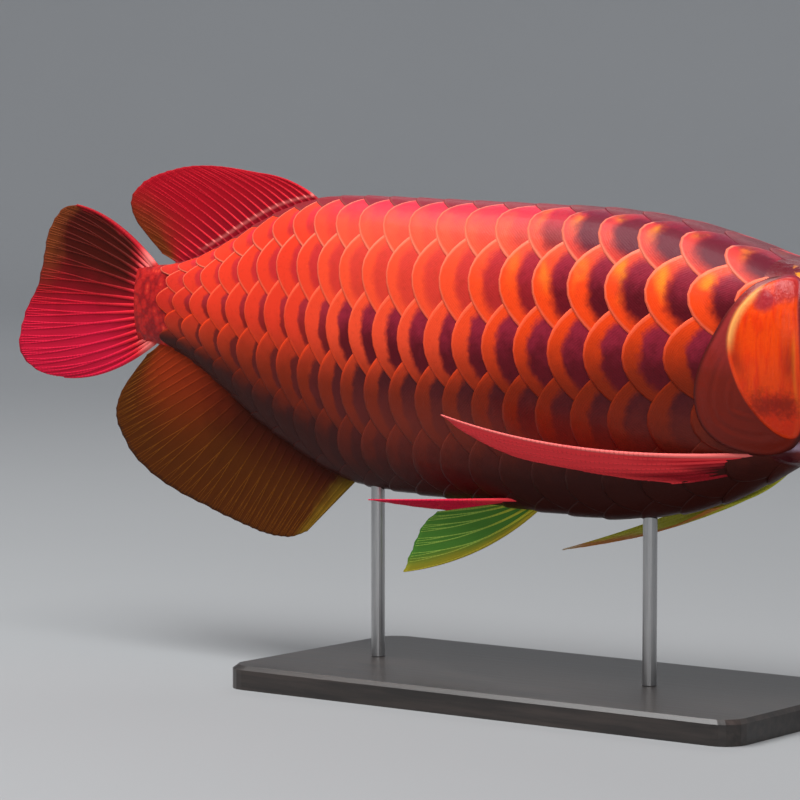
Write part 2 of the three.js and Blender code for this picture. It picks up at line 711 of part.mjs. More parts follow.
// Stand
const baseCentre = SNOUT_X;
function roundedBase() {
  const { length, width, height, bevel } = BASE;
  const ring = (inset, z) => {
    const a = length / 2 - inset;
    const b = width / 2 - inset;
    const c = 12;
    const out = [];
    const corners = [[a - c, b - c], [-a + c, b - c], [-a + c, -b + c], [a - c, -b + c]];
    corners.forEach(([x, y], q) => {
      for (let k = 0; k <= 5; k += 1) {
        const t = ((q + k / 5) * Math.PI) / 2;
        out.push([baseCentre + x + c * Math.cos(t), y + c * Math.sin(t), z - AXIS_Z]);
      }
    });
    return out;
  };
  return loft([ring(0, 0), ring(0, height - bevel), ring(bevel, height)]);
}
function rod(station) {
  const ring = (z) => Array.from({ length: 24 }, (_, k) => {
    const a = (2 * Math.PI * k) / 24;
    return [station + ROD_RADIUS * Math.cos(a), ROD_RADIUS * Math.sin(a), z];
  });
  return largest(loft([ring(BASE.height + GAP - AXIS_Z), ring(PROFILE.bottom(station) + 6)]).subtract(bodyGrown));
}

// Materials and nodes
const paint = (color, roughness = 0.5, metalness = 0) => new THREE.MeshStandardMaterial({ color, roughness, metalness });
const materials = {
  skin: paint(0xc2453a),
  plate: paint(0xd9703a, 0.4),
  jaw: paint(0xb04a44),
  eye: paint(0x2a1712, 0.15),
  fin: paint(0xb5323a),
  farFin: paint(0x8f9a3a),
  stand: paint(0x24262a, 0.45),
};

const group = new THREE.Group();
group.name = 'asian_arowana';
function addNode(name, solid, material) {
  const m = solid.getMesh();
  const geometry = new THREE.BufferGeometry();
  const count = m.vertProperties.length / m.numProp;
  const positions = new Float32Array(count * 3);
  for (let i = 0; i < count; i += 1) {
    for (let a = 0; a < 3; a += 1) positions[3 * i + a] = m.vertProperties[i * m.numProp + a];
  }
  geometry.setAttribute('position', new THREE.BufferAttribute(positions, 3));
  geometry.setIndex(new THREE.BufferAttribute(new Uint32Array(m.triVerts), 1));
  geometry.computeVertexNormals();
  const mesh = new THREE.Mesh(geometry, material);
  mesh.name = name;
  group.add(mesh);
}

addNode('head', head, materials.skin);
addNode('lower_jaw', lowerJaw, materials.jaw);
addNode('gill_cover_right', gillCover(-1, 0), materials.plate);
addNode('gill_cover_left', gillCover(1, 0), materials.plate);
addNode('eye_right', eyeSolid(-1, 0), materials.eye);
addNode('eye_left', eyeSolid(1, 0), materials.eye);
addNode('barbel_right', barbel(-1), materials.jaw);
addNode('barbel_left', barbel(1), materials.jaw);
addNode('trunk_front', trunk[0], materials.skin);
addNode('trunk_mid', trunk[1], materials.skin);
addNode('trunk_rear', trunk[2], materials.skin);
addNode('tail_stalk', trunk[3], materials.skin);
addNode('dorsal_fin', largest(dorsalFin), materials.fin);
addNode('anal_fin', largest(analFin), materials.fin);
addNode('caudal_fin', largest(caudalFin), materials.fin);
addNode('pectoral_fin_right', paired(PECTORAL.right, 14, 5, 2.4), materials.fin);
addNode('pectoral_fin_left', paired(PECTORAL.left, 14, 5, 2.4), materials.farFin);
addNode('pelvic_fin_right', paired(PELVIC.right, 10, 4, 2), materials.fin);
addNode('pelvic_fin_left', paired(PELVIC.left, 10, 4, 2), materials.farFin);
addNode('stand_base', roundedBase(), materials.stand);
addNode('stand_rod_front', rod(ROD_STATIONS[0]), materials.stand);
addNode('stand_rod_rear', rod(ROD_STATIONS[1]), materials.stand);

export default group;
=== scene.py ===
"""A life-size Asian arowana, still, on a plain display stand."""

import math

import bpy
import numpy as np
from bpy.props import FloatProperty, FloatVectorProperty, IntProperty, PointerProperty
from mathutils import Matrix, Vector


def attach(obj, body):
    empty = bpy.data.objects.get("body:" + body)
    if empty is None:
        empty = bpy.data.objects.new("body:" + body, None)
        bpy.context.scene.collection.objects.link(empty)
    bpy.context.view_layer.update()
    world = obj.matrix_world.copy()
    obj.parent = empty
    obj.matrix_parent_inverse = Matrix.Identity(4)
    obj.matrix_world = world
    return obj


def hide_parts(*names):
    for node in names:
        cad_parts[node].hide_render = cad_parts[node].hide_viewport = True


bl_info = {
    "name": "Asian arowana",
    "version": (1, 0, 0),
    "blender": (4, 5, 0),
    "location": "3D View > Sidebar > Arowana",
    "description": "A red Asian arowana on a display stand",
    "category": "Object",
}

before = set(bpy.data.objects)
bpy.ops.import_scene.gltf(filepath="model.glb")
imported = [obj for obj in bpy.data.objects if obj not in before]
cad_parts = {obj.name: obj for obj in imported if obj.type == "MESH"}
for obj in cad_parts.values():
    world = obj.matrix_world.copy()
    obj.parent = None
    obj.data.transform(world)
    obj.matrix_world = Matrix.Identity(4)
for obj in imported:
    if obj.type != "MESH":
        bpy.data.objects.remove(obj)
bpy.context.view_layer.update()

# The fish has its own coordinates, in millimetres: the station behind the snout, y to its left and the level
# over its axis. Its snout lies at SNOUT_X and its axis at AXIS_Z in the frame.
SNOUT_X = 245.0
AXIS_Z = 189.0
MILLIMETRE = 0.001

# The lattice of the scales has columns half a pitch apart and rows round the girth. Every second point of it
# carries a scale. The map is the part of the lattice that the ground of the scales covers.
SCALE_START = 102.5
SCALE_END = 503.0
FIRST_PITCH = 25.43
PITCH_SHRINK = 560.0
LAST_COLUMN = 46
LAST_SCALE = 43
ROWS = 12
BELLY_ROW = 6
ROWS_FRONT = np.array([0, 0.13, 0.3, 0.485, 0.672, 0.86, 1])
ROWS_REAR = np.array([0, 0.085, 0.222, 0.43, 0.645, 0.855, 1])
MAP_START = (-3.0, -1.2)
MAP_SPAN = (52.0, 14.4)

# Station, back line, belly line, half width, level of the widest point (share of the depth),
# roundness of the upper and of the lower half
STATIONS = np.array([
    [0, 14, 5, 5, 0.5, 2, 2],
    [4, 17, -7, 11, 0.5, 2.2, 2],
    [12, 18.3, -20, 16, 0.55, 2.5, 2],
    [25, 19.5, -33.5, 19.5, 0.56, 2.8, 1.9],
    [45, 21.5, -46, 24, 0.57, 2.9, 1.8],
    [65, 23.8, -54.5, 28, 0.57, 2.9, 1.75],
    [85, 27, -61, 31, 0.56, 2.8, 1.75],
    [105, 31, -67.5, 33, 0.56, 2.7, 1.8],
    [130, 39, -80.5, 34.5, 0.57, 2.6, 1.8],
    [158, 46.5, -90, 35.5, 0.58, 2.5, 1.8],
    [200, 52.5, -96.5, 36, 0.58, 2.5, 1.8],
    [245, 54.5, -96, 35, 0.58, 2.5, 1.8],
    [290, 56, -93.5, 32, 0.58, 2.4, 1.8],
    [336, 57.5, -91, 27, 0.57, 2.3, 1.8],
    [362, 58, -88.5, 23.5, 0.56, 2.2, 1.8],
    [384, 57, -82, 20, 0.55, 2.1, 1.8],
    [407, 52, -71, 17, 0.54, 2, 1.8],
    [428, 43.5, -59.5, 14.5, 0.53, 2, 1.8],
    [448, 34, -45.5, 12.5, 0.52, 2, 1.9],
    [470, 25, -31.5, 10, 0.51, 2, 2],
    [486, 21.5, -24, 8, 0.5, 2, 2],
    [503, 20, -21, 5.5, 0.5, 2, 2],
    [518, 18, -19, 2.6, 0.5, 2, 2],
])


# Curves and the body's surface

def smooth(value, low=0.0, high=1.0):
    """0 at low and 1 at high, with a soft change between them."""
    t = np.clip((np.asarray(value, float) - low) / (high - low), 0, 1)
    return t * t * (3 - 2 * t)


def curve_through(x, y, at):
    """Smooth curve through points, held at its end values beyond them."""
    slope = np.empty(len(x))
    slope[1:-1] = (y[2:] - y[:-2]) / (x[2:] - x[:-2])
    slope[0] = (y[1] - y[0]) / (x[1] - x[0])
    slope[-1] = (y[-1] - y[-2]) / (x[-1] - x[-2])
    v = np.clip(at, x[0], x[-1])
    i = np.clip(np.searchsorted(x, v, side="right") - 1, 0, len(x) - 2)
    w = x[i + 1] - x[i]
    t = (v - x[i]) / w
    rise = (3 - 2 * t) * t * t
    return (y[i] * (1 - rise) + y[i + 1] * rise
            + w * slope[i] * t * (1 - t) ** 2 - w * slope[i + 1] * t * t * (1 - t))


def section(s):
    """Back, middle and belly levels, half width and roundness at stations."""
    columns = STATIONS.T
    top, bottom, half, wide, upper, lower = (curve_through(columns[0], column, s) for column in columns[1:])
    return top, bottom + wide * (top - bottom), bottom, half, upper, lower


def back_line(s):
    return section(s)[0]


def belly_line(s):
    return section(s)[2]


def girth_table(shares=257):
    """Half girths at close stations, sampled evenly along their length from back to belly."""
    stations = np.concatenate([np.linspace(0, 30, 120, endpoint=False), np.linspace(30, 518, 490)])
    top, middle, bottom, half, upper, lower = (a[:, None] for a in section(stations))
    angle = np.linspace(0, math.pi, 361)[None, :]
    up = angle < math.pi / 2
    power = 2 / np.where(up, upper, lower)
    y = half * np.abs(np.sin(angle)) ** power
    z = middle + np.where(up, top - middle, bottom - middle) * np.abs(np.cos(angle)) ** power
    run = np.concatenate([np.zeros((len(stations), 1)), np.hypot(np.diff(y), np.diff(z)).cumsum(1)], 1)
    out = np.empty((len(stations), shares, 2))
    for i in range(len(stations)):
        at = np.linspace(0, run[i, -1], shares)
        out[i, :, 0] = np.interp(at, run[i], y[i])
        out[i, :, 1] = np.interp(at, run[i], z[i])
    return stations, out


TABLE_STATIONS, TABLE = girth_table()
TABLE_OUT = np.stack([-np.gradient(TABLE[:, :, 1], axis=1), np.gradient(TABLE[:, :, 0], axis=1)], -1)
TABLE_OUT /= np.linalg.norm(TABLE_OUT, axis=-1, keepdims=True)
TABLE_OUT[:, 0] = (0, 1)
TABLE_OUT[:, -1] = (0, -1)


def skin_point(s, share, side, lift=0.0):
    """Points of the body at stations and shares of the half girth from the back, and outward directions."""
    s, share, side, lift = np.broadcast_arrays(np.asarray(s, float), share, side, lift)
    fs = np.clip(np.interp(s, TABLE_STATIONS, np.arange(len(TABLE_STATIONS))), 0, len(TABLE_STATIONS) - 1.001)
    fg = np.clip(share, 0, 1) * (TABLE.shape[1] - 1.001)
    i, k = fs.astype(int), fg.astype(int)
    a, b = (fs - i)[..., None], (fg - k)[..., None]

    def read(table):
        return ((table[i, k] * (1 - b) + table[i, k + 1] * b) * (1 - a)
                + (table[i + 1, k] * (1 - b) + table[i + 1, k + 1] * b) * a)

    place, out = read(TABLE), read(TABLE_OUT)
    out /= np.linalg.norm(out, axis=-1, keepdims=True)
    place = place + out * lift[..., None]
    return (np.stack([s, side * place[..., 0], place[..., 1]], -1),
            np.stack([np.zeros_like(s), side * out[..., 0], out[..., 1]], -1))


def flank_reach(s, z):
    """Half width of the body at a station and a level."""
    top, middle, bottom, half, upper, lower = section(s)
    up = z > middle
    reach = np.where(up, top - middle, middle - bottom)
    q = np.clip(np.abs(z - middle) / reach, 0, 1)
    n = np.where(up, upper, lower)
    return half * np.maximum(0.02, 1 - q ** n) ** (1 / n)


def flank_point(s, z, side, lift=0.0):
    """Points of the flank seen from the side at a station and a level, lifted off it."""
    s, z, side, lift = np.broadcast_arrays(np.asarray(s, float), np.asarray(z, float), side, lift)
    ds = flank_reach(s + 0.5, z) - flank_reach(s - 0.5, z)
    dz = flank_reach(s, z + 0.5) - flank_reach(s, z - 0.5)
    d = np.sqrt(1 + ds * ds + dz * dz)
    return np.stack([s - ds / d * lift, side * (flank_reach(s, z) + lift / d), z - dz / d * lift], -1)


def column_station(h):
    """Station of a column of the lattice. The pitch shrinks towards the tail."""
    return SCALE_START + PITCH_SHRINK * np.log(1 + np.asarray(h, float) * FIRST_PITCH / (2 * PITCH_SHRINK))


def row_point(s, row, lift=0.0):
    """Points of the body at a station and a row of the scales, counted round the girth from the back."""
    s, row = np.broadcast_arrays(np.asarray(s, float), np.asarray(row, float))
    around = np.mod(row, ROWS)
    side = np.where(around <= BELLY_ROW, 1.0, -1.0)
    down = np.where(side > 0, around, ROWS - around)
    along = np.clip((s - 300) / 170, 0, 1)
    front = np.interp(down, np.arange(BELLY_ROW + 1), ROWS_FRONT)
    rear = np.interp(down, np.arange(BELLY_ROW + 1), ROWS_REAR)
    return skin_point(s, front + (rear - front) * along, side, lift)


def catmull(points, u, closed=False):
    """Points of a curve through a few points, at shares of its length."""
    p = np.asarray(points, float)
    n = len(p) if closed else len(p) - 1
    v = np.mod(u, 1) * n if closed else np.clip(u, 0, 0.999999) * n
    k = np.asarray(v).astype(int)
    t = (v - k)[..., None]
    pick = (lambda o: p[(k + o) % n]) if closed else (lambda o: p[np.clip(k + o, 0, n)])
    a, b, c, d = pick(-1), pick(0), pick(1), pick(2)
    bend, twist = 2 * a - 5 * b + 4 * c - d, 3 * b - a - 3 * c + d
    return 0.5 * (2 * b + (c - a) * t + bend * t ** 2 + twist * t ** 3)


def inside_by(s, z, outline):
    """Distance of side-view points from a closed outline, positive inside it."""
    near = np.full(s.shape, 1e9)
    odd = np.zeros(s.shape, bool)
    for (x0, z0), (x1, z1) in zip(outline, np.roll(outline, -1, axis=0)):
        near = np.minimum(near, line_distance(s, z, x0, z0, x1, z1)[0])
        if z0 != z1:
            odd ^= ((z0 > z) != (z1 > z)) & (s < (x1 - x0) * (z - z0) / (z1 - z0) + x0)
    return np.where(odd, near, -near)


def line_distance(s, z, x0, z0, x1, z1):
    """Distance of side-view points from a straight line, and the share along it where they are nearest."""
    dx, dz = x1 - x0, z1 - z0
    t = np.clip(((s - x0) * dx + (z - z0) * dz) / (dx * dx + dz * dz), 0, 1)
    return np.hypot(s - x0 - t * dx, z - z0 - t * dz), t


def along_by(s, z, path, steps=60):
    """Distance of side-view points from a path, and the path's other values where they are nearest."""
    p = catmull(path, np.linspace(0, 1, steps))
    near = np.full(s.shape, 1e9)
    value = np.zeros(s.shape)
    for k in range(steps - 1):
        d, t = line_distance(s, z, *p[k, :2], *p[k + 1, :2])
        closer = d < near
        near = np.where(closer, d, near)
        here = p[k, 2] + t * (p[k + 1, 2] - p[k, 2]) if p.shape[1] > 2 else (k + t) / (steps - 1)
        value = np.where(closer, here, value)
    return near, value


# Meshes

def to_frame(points):
    """The frame's coordinates, in metres, of points in the fish's own."""
    p = np.asarray(points, float)
    return np.stack([SNOUT_X - p[..., 0], p[..., 1], AXIS_Z + p[..., 2]], -1) * MILLIMETRE


def millimetres(size):
    """A length setting in the fish's own unit."""
    return size / MILLIMETRE


def grid_faces(rows, columns, closed=False):
    """Four-sided faces between neighbouring rows of points, where each row may close in a ring."""
    i, k = np.meshgrid(np.arange(rows - 1), np.arange(columns if closed else columns - 1), indexing="ij")
    m = (k + 1) % columns
    quads = np.stack([i * columns + k, i * columns + m, (i + 1) * columns + m, (i + 1) * columns + k], -1)
    return quads.reshape(-1, 4).tolist()


def ringed(rings, ends=None):
    """Points and faces of closed rings, with fans that close the first and the last onto a point each."""
    rows, columns = rings.shape[:2]
    ends = rings[[0, -1]].mean(1) if ends is None else ends
    hub, last = rows * columns, (rows - 1) * columns
    faces = grid_faces(rows, columns, closed=True)
    for k in range(columns):
        m = (k + 1) % columns
        faces += [[m, k, hub], [last + k, last + m, hub + 1]]
    return np.concatenate([rings.reshape(-1, 3), ends]), faces


def steps_along(path):
    """Length of a path of points, from its start to each point."""
    return np.concatenate([[0], np.linalg.norm(np.diff(path, axis=0), axis=1).cumsum()])


def signed_volume(points, faces):
    """A number that is negative where the faces of a closed mesh point inwards."""
    total = 0.0
    for count in (3, 4):
        part = np.array([f for f in faces if len(f) == count])
        for k in range(2, count if len(part) else 0):
            a, b, c = points[part[:, 0]], points[part[:, k - 1]], points[part[:, k]]
            total += np.einsum("ij,ij->", a, np.cross(b, c))
    return total


def plain_object(name, points, edges=(), faces=(), marks=()):
    """An object of points, lines and faces, with numbers or vectors stored on its points by name."""
    mesh = bpy.data.meshes.new(name)
    mesh.from_pydata(np.reshape(points, (-1, 3)).tolist(), edges, faces)
    for key, values in dict(marks).items():
        kind, field = ("FLOAT_VECTOR", "vector") if np.ndim(values) == 2 else ("FLOAT", "value")
        stored = mesh.attributes.new(key, kind, "POINT")
        stored.data.foreach_set(field, np.asarray(values, np.float32).ravel())
    piece = bpy.data.objects.new(name, mesh)
    bpy.context.scene.collection.objects.link(piece)
    return piece


def make_object(name, points, faces, marks=(), uv=()):
    """An object with smooth faces that point outwards, marks on its points and UV maps."""
    points = np.asarray(points, float)
    if signed_volume(points, faces) < 0:
        faces = [face[::-1] for face in faces]
    piece = plain_object(name, points, (), faces, marks)
    mesh = piece.data
    mesh.validate()
    mesh.shade_smooth()
    corner = np.empty(len(mesh.loops), np.int32)
    mesh.loops.foreach_get("vertex_index", corner)
    for key, values in dict(uv).items():
        mesh.uv_layers.new(name=key).data.foreach_set("uv", np.asarray(values, np.float32)[corner].ravel())
    return piece


def place(piece, material, slot, *nodes):
    """Give a piece its material, carry it on the body and let it stand for its CAD nodes."""
    if material:
        piece.data.materials.clear()
        piece.data.materials.append(material)
    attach(piece, "root")
    if nodes:
        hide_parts(*nodes)
    return piece


# Node trees

class Nodes:
    """Short calls for the nodes of one tree."""

    def __init__(self, tree):
        self.tree = tree
        tree.nodes.clear()

    def put(self, socket, value):
        if isinstance(value, bpy.types.NodeSocket):
            self.tree.links.new(value, socket)
        elif socket.type == "RGBA":
            socket.default_value = (*tuple(value)[:3], 1)
        else:
            socket.default_value = value

    def add(self, kind, values=(), **settings):
        node = self.tree.nodes.new(kind)
        for key, value in settings.items():
            setattr(node, key, value)
        for key, value in dict(values).items():
            self.put(node.inputs[key], value)
        return node

    def math(self, operation, a, b=0.0, c=0.0):
        return self.add("ShaderNodeMath", {0: a, 1: b, 2: c}, operation=operation).outputs[0]

    def minus(self, a, b):
        return self.math("SUBTRACT", a, b)

    def chain(self, operation, first, *rest):
        for value in rest:
            first = self.math(operation, first, value)
        return first

    def times(self, *values):
        return self.chain("MULTIPLY", *values)

    def plus(self, *values):
        return self.chain("ADD", *values)

    def parts(self, vector):
        return self.add("ShaderNodeSeparateXYZ", {0: vector}).outputs

    def vector(self, x, y):
        return self.add("ShaderNodeCombineXYZ", {0: x, 1: y}).outputs[0]

    def named(self, name, kind="FLOAT_VECTOR"):
        return self.add("GeometryNodeInputNamedAttribute", {"Name": name}, data_type=kind).outputs[0]

    def store(self, geometry, name, value, kind, domain):
        values = {"Geometry": geometry, "Name": name, "Value": value}
        return self.add("GeometryNodeStoreNamedAttribute", values, data_type=kind, domain=domain).outputs[0]

    def shape_of(self, piece):
        return self.add("GeometryNodeObjectInfo", {"Object": piece}).outputs["Geometry"]


class Paint(Nodes):
    """A material, built from masks and colours."""

    def __init__(self, name):
        self.material = bpy.data.materials.new(name)
        self.material.use_nodes = True
        super().__init__(self.material.node_tree)
        self.object_place = self.add("ShaderNodeTexCoord").outputs["Object"]

    def mark(self, name):
        return self.add("ShaderNodeAttribute", attribute_name=name).outputs["Fac"]

    def mark_parts(self, name):
        return self.parts(self.add("ShaderNodeAttribute", attribute_name=name).outputs["Vector"])

    def fish_place(self):
        """Station and level of each painted point."""
        at = self.parts(self.object_place)
        x, z = (self.times(at[k], 1 / MILLIMETRE) for k in (0, 2))
        return self.minus(SNOUT_X, x), self.minus(z, AXIS_Z)

    def flip(self, value):
        return self.minus(1.0, value)

    def step(self, value, low, high):
        """0 below low and 1 above high, or the other way round where low is the larger."""
        swap = float(low > high)
        values = {"Value": value, "From Min": min(low, high), "From Max": max(low, high),
                  "To Min": swap, "To Max": 1.0 - swap}
        return self.add("ShaderNodeMapRange", values, interpolation_type="SMOOTHSTEP").outputs[0]

    def hill(self, value, low, top, high):
        return self.times(self.step(value, low, top), self.step(value, high, top))

    def square(self, value, centre, reach):
        return self.math("POWER", self.math("DIVIDE", self.minus(value, centre), reach), 2.0)

    def oval(self, at, centre, reach):
        """Distance from the centre of an oval, 1 on its outline."""
        return self.math("SQRT", self.plus(*(self.square(*axis) for axis in zip(at, centre, reach))))

    def mix(self, factor, a, b):
        return self.add("ShaderNodeMix", {0: factor, 6: a, 7: b}, data_type="RGBA").outputs[2]

    def layers(self, colour, *more):
        """A colour with others laid over it in turn, each through its mask."""
        for mask, tint in more:
            colour = self.mix(mask, colour, tint)
        return colour

    def dim(self, colour, factor):
        values = {0: 1.0, 6: colour, 7: factor}
        return self.add("ShaderNodeMix", values, data_type="RGBA", blend_type="MULTIPLY").outputs[2]

    def darken(self, mask, colour, factor):
        return self.mix(mask, colour, self.dim(colour, factor))

    def noise(self, scale, detail=2.0, rough=0.5, at=None):
        values = {"Vector": at or self.object_place, "Scale": scale, "Detail": detail, "Roughness": rough}
        return self.add("ShaderNodeTexNoise", values).outputs[0]

    def grain(self, *settings):
        """Noise about zero."""
        return self.minus(self.noise(*settings), 0.5)

    def cells(self, scale, at):
        return self.add("ShaderNodeTexVoronoi", {"Vector": at, "Scale": scale}).outputs[0]

    def stretch(self, scale):
        return self.add("ShaderNodeMapping", {"Vector": self.object_place, "Scale": scale}).outputs[0]

    def wave(self, value, turns):
        return self.math("SINE", self.times(value, 2 * math.pi * turns))

    def bump(self, height, depth):
        values = {"Height": height, "Distance": depth * MILLIMETRE, "Strength": 1.0}
        return self.add("ShaderNodeBump", values).outputs[0]

    def finish(self, colour, roughness, normal, **constants):
        values = {"Base Color": colour, "Roughness": roughness, "Normal": normal}
        for key, value in constants.items():
            values[key.replace("_", " ").title().replace("Ior", "IOR")] = value
        shader = self.add("ShaderNodeBsdfPrincipled", values)
        self.add("ShaderNodeOutputMaterial", {"Surface": shader.outputs[0]})
        return self.material


def grown(base, name, inputs, build, values):
    """Run a Geometry Nodes tree on an object and keep the result as its plain mesh."""
    tree = bpy.data.node_groups.new(name, "GeometryNodeTree")
    nodes = Nodes(tree)
    tree.interface.new_socket("Geometry", in_out="INPUT", socket_type="NodeSocketGeometry")
    tree.interface.new_socket("Geometry", in_out="OUTPUT", socket_type="NodeSocketGeometry")
    for key, kind in inputs.items():
        tree.interface.new_socket(key, in_out="INPUT", socket_type="NodeSocket" + kind)
    given = nodes.add("NodeGroupInput").outputs
    real = nodes.add("GeometryNodeRealizeInstances", {"Geometry": build(nodes, given)}).outputs[0]
    worn = nodes.add("GeometryNodeSetMaterial", {"Geometry": real, "Material": given["Material"]}).outputs[0]
    nodes.add("NodeGroupOutput", {"Geometry": worn})
    modifier = base.modifiers.new(name, "NODES")
    modifier.node_group = tree
    for socket in tree.interface.items_tree:
        if socket.in_out == "INPUT" and socket.name in values:
            modifier[socket.identifier] = values[socket.name]
    graph = bpy.context.evaluated_depsgraph_get()
    result = base.evaluated_get(graph)
    mesh = bpy.data.meshes.new_from_object(result, preserve_all_data_layers=True, depsgraph=graph)
    base.modifiers.remove(modifier)
    base.data = mesh
    mesh.name = base.name
    return base


# The body's skin

MAXILLA = [[6, 13.5, 3], [13, 6, 6], [26, -6, 8], [40, -19, 9.5], [50, -28.5, 10], [56, -34, 5]]
PREOPERCLE = [[82.5, 22, 2], [80, 12, 3], [79.2, -8, 3.4], [80, -28, 4.5], [83.5, -43, 7], [91, -54, 4]]
LOWER_LIP = [[3, 8, 4], [12, -2, 5], [26, -15, 5.5], [39, -27, 5], [48, -35, 2.5]]
MOUTH = [[-6, 12.5], [2, 12], [12, 2], [26, -11], [40, -24], [50, -33], [56, -40]]
EYE_RIM = [[52.5, 5], [49, 14.5], [39, 18], [28, 14.5], [25, 4], [29, -6], [39, -9.5], [49, -5.5]]
CHEEK_UPPER = [[54, 15], [65, 17], [78.5, 17], [77, 4], [76.5, -9], [65, -9], [53.5, -8], [56, 4]]
CHEEK_LOWER = [[51, -10], [64, -11], [76, -11.5], [76.5, -24], [78.5, -38], [70, -42], [63, -34], [55, -22]]
OPERCLE = [[91, 21], [86.5, 4], [85, -18], [87, -38], [93, -50], [103, -46.5], [112, -34.5], [118, -20],
           [120, -6], [115.5, 7.5], [105.5, 18]]
GILL = [[90, 22], [83.5, 3], [82, -18], [85, -38], [93, -53], [108, -60], [126, -57], [137, -48], [140, -35],
        [137, -21], [129.5, -6], [120, 9], [108, 20.5]]
THROAT_FOLDS = [[[58, -47], [70, -52], [84, -55], [98, -59]], [[62, -50.5], [74, -55], [86, -58], [96, -61]]]
EYE = {"station": 39, "level": 4.5, "radius": 10.5, "depth": 6, "under": 2.5}
NOSTRIL = (17, 15.5)


def closed(points, count=90):
    """A smooth closed outline through a few points."""
    return catmull(points, np.linspace(0, 1, count, endpoint=False), closed=True)


def head_relief(place, sizes):
    """Lift of the skin over the plain body, and masks of the mouth and the cheek plates."""
    s, z = place[..., 0], place[..., 2]
    lift = np.zeros(s.shape)
    mouth = np.zeros(s.shape)
    plates = np.zeros(s.shape)
    near = s < 150
    s, z, p = s[near], z[near], place[near]
    rise = np.zeros(s.shape)
    for path, height in ((MAXILLA, 1.9), (PREOPERCLE, 1.4), (LOWER_LIP, 1.6)):
        d, width = along_by(s, z, path)
        rise = np.maximum(rise, height * smooth(d, width / 2 + 0.6, width / 2 - 1.6))
    cheek = np.zeros(s.shape)
    for outline, height in ((EYE_RIM, 1.0), (CHEEK_UPPER, 0.95), (CHEEK_LOWER, 1.05)):
        d = inside_by(s, z, closed(outline))
        rise = np.maximum(rise, height * smooth(d, -0.4, 1.3))
        cheek = np.maximum(cheek, smooth(d, 0, 2.5))
    eye = np.hypot(s - EYE["station"], z - EYE["level"]) - EYE["radius"]
    rise += 0.7 * np.exp(-(eye - 1.1) ** 2) - 4.6 * smooth(eye, 0.3, -0.8)
    nostril = np.linalg.norm(p - flank_point(*NOSTRIL, np.sign(p[:, 1] + 1e-9)), axis=-1)
    rise += 1.1 * np.exp(-((nostril - 1.9) / 0.7) ** 2) - 1.6 * smooth(nostril, 1.5, 0.7)
    d, at = along_by(s, z, MOUTH)
    gape = np.exp(-(d / 0.75) ** 2) * smooth(at, 1.0, 0.9)
    rise -= millimetres(sizes.mouth_depth) * gape
    for path in THROAT_FOLDS:
        d, at = along_by(s, z, path)
        rise -= 0.7 * np.exp(-(d / 0.7) ** 2) * smooth(at, 0, 0.2) * smooth(at, 1, 0.7)
    shoulder = np.hypot((s - 101) / 9, (z + 60) / 6)
    rise += 2.0 * smooth(shoulder, 1, 0.2)
    rise -= 1.2 * smooth(inside_by(s, z, closed(GILL)), -0.5, 1.5)
    lift[near], mouth[near], plates[near] = rise, gape, cheek
    return lift, mouth, plates


def skin_grid():
    """Rings of the body's surface, rounded at the snout and the tail, their outward directions and shares."""
    half, last, snout_bulge, tail_bulge = 136, 511, 1.5, 2.2
    stations = np.concatenate([np.arange(0, 60, 0.5), np.arange(60, 126, 0.8), np.linspace(126, last, 66)])
    k = np.arange(2 * half)
    share = np.where(k <= half, k, 2 * half - k) / half
    side = np.where(k <= half, 1.0, -1.0)
    rings = skin_point(stations[:, None], share[None, :], side[None, :])[0]
    centre = rings[0].mean(0)
    cap = []
    for r in (0.03, 0.3, 0.55, 0.78, 0.92):
        ring = centre + r * (rings[0] - centre)
        ring[:, 0] = -snout_bulge * (1 - r * r)
        cap.append(ring)
    tail = rings[-1].mean(0)
    end = []
    for r in (0.8, 0.45, 0.03):
        ring = tail + r * (rings[-1] - tail)
        ring[:, 0] = last + tail_bulge * math.sqrt(1 - r * r)
        end.append(ring)
    place = np.concatenate([cap, rings, end])
    along = np.gradient(place, axis=0)
    across = (np.roll(place, -1, 1) - np.roll(place, 1, 1)) / 2
    out = np.cross(along, across)
    out /= np.linalg.norm(out, axis=-1, keepdims=True) + 1e-12
    middle = place.mean(1, keepdims=True)
    if ((place - middle) * out).sum() < 0:
        out = -out
    return place, out, np.broadcast_to(share, place.shape[:2])


def build_skin(sizes, colours):
    place_at, out, share = skin_grid()
    lift, mouth, plates = head_relief(place_at, sizes)
    station = place_at[..., 0]
    lift -= millimetres(sizes.skin_under) * smooth(station, 106, 124) * smooth(station, 493, 478)
    points, faces = ringed(place_at + out * lift[..., None], place_at[[0, -1]].mean(1))
    marks = {"mouth": mouth, "cheek": plates, "relief": lift, "share": share}
    marks = {key: np.append(value.reshape(-1), [0, 0]) for key, value in marks.items()}
    piece = make_object("skin", to_frame(points), faces, marks)
    return place(piece, skin_paint(colours), "skin", "head", "lower_jaw", "trunk_front", "trunk_mid",
                 "trunk_rear", "tail_stalk")


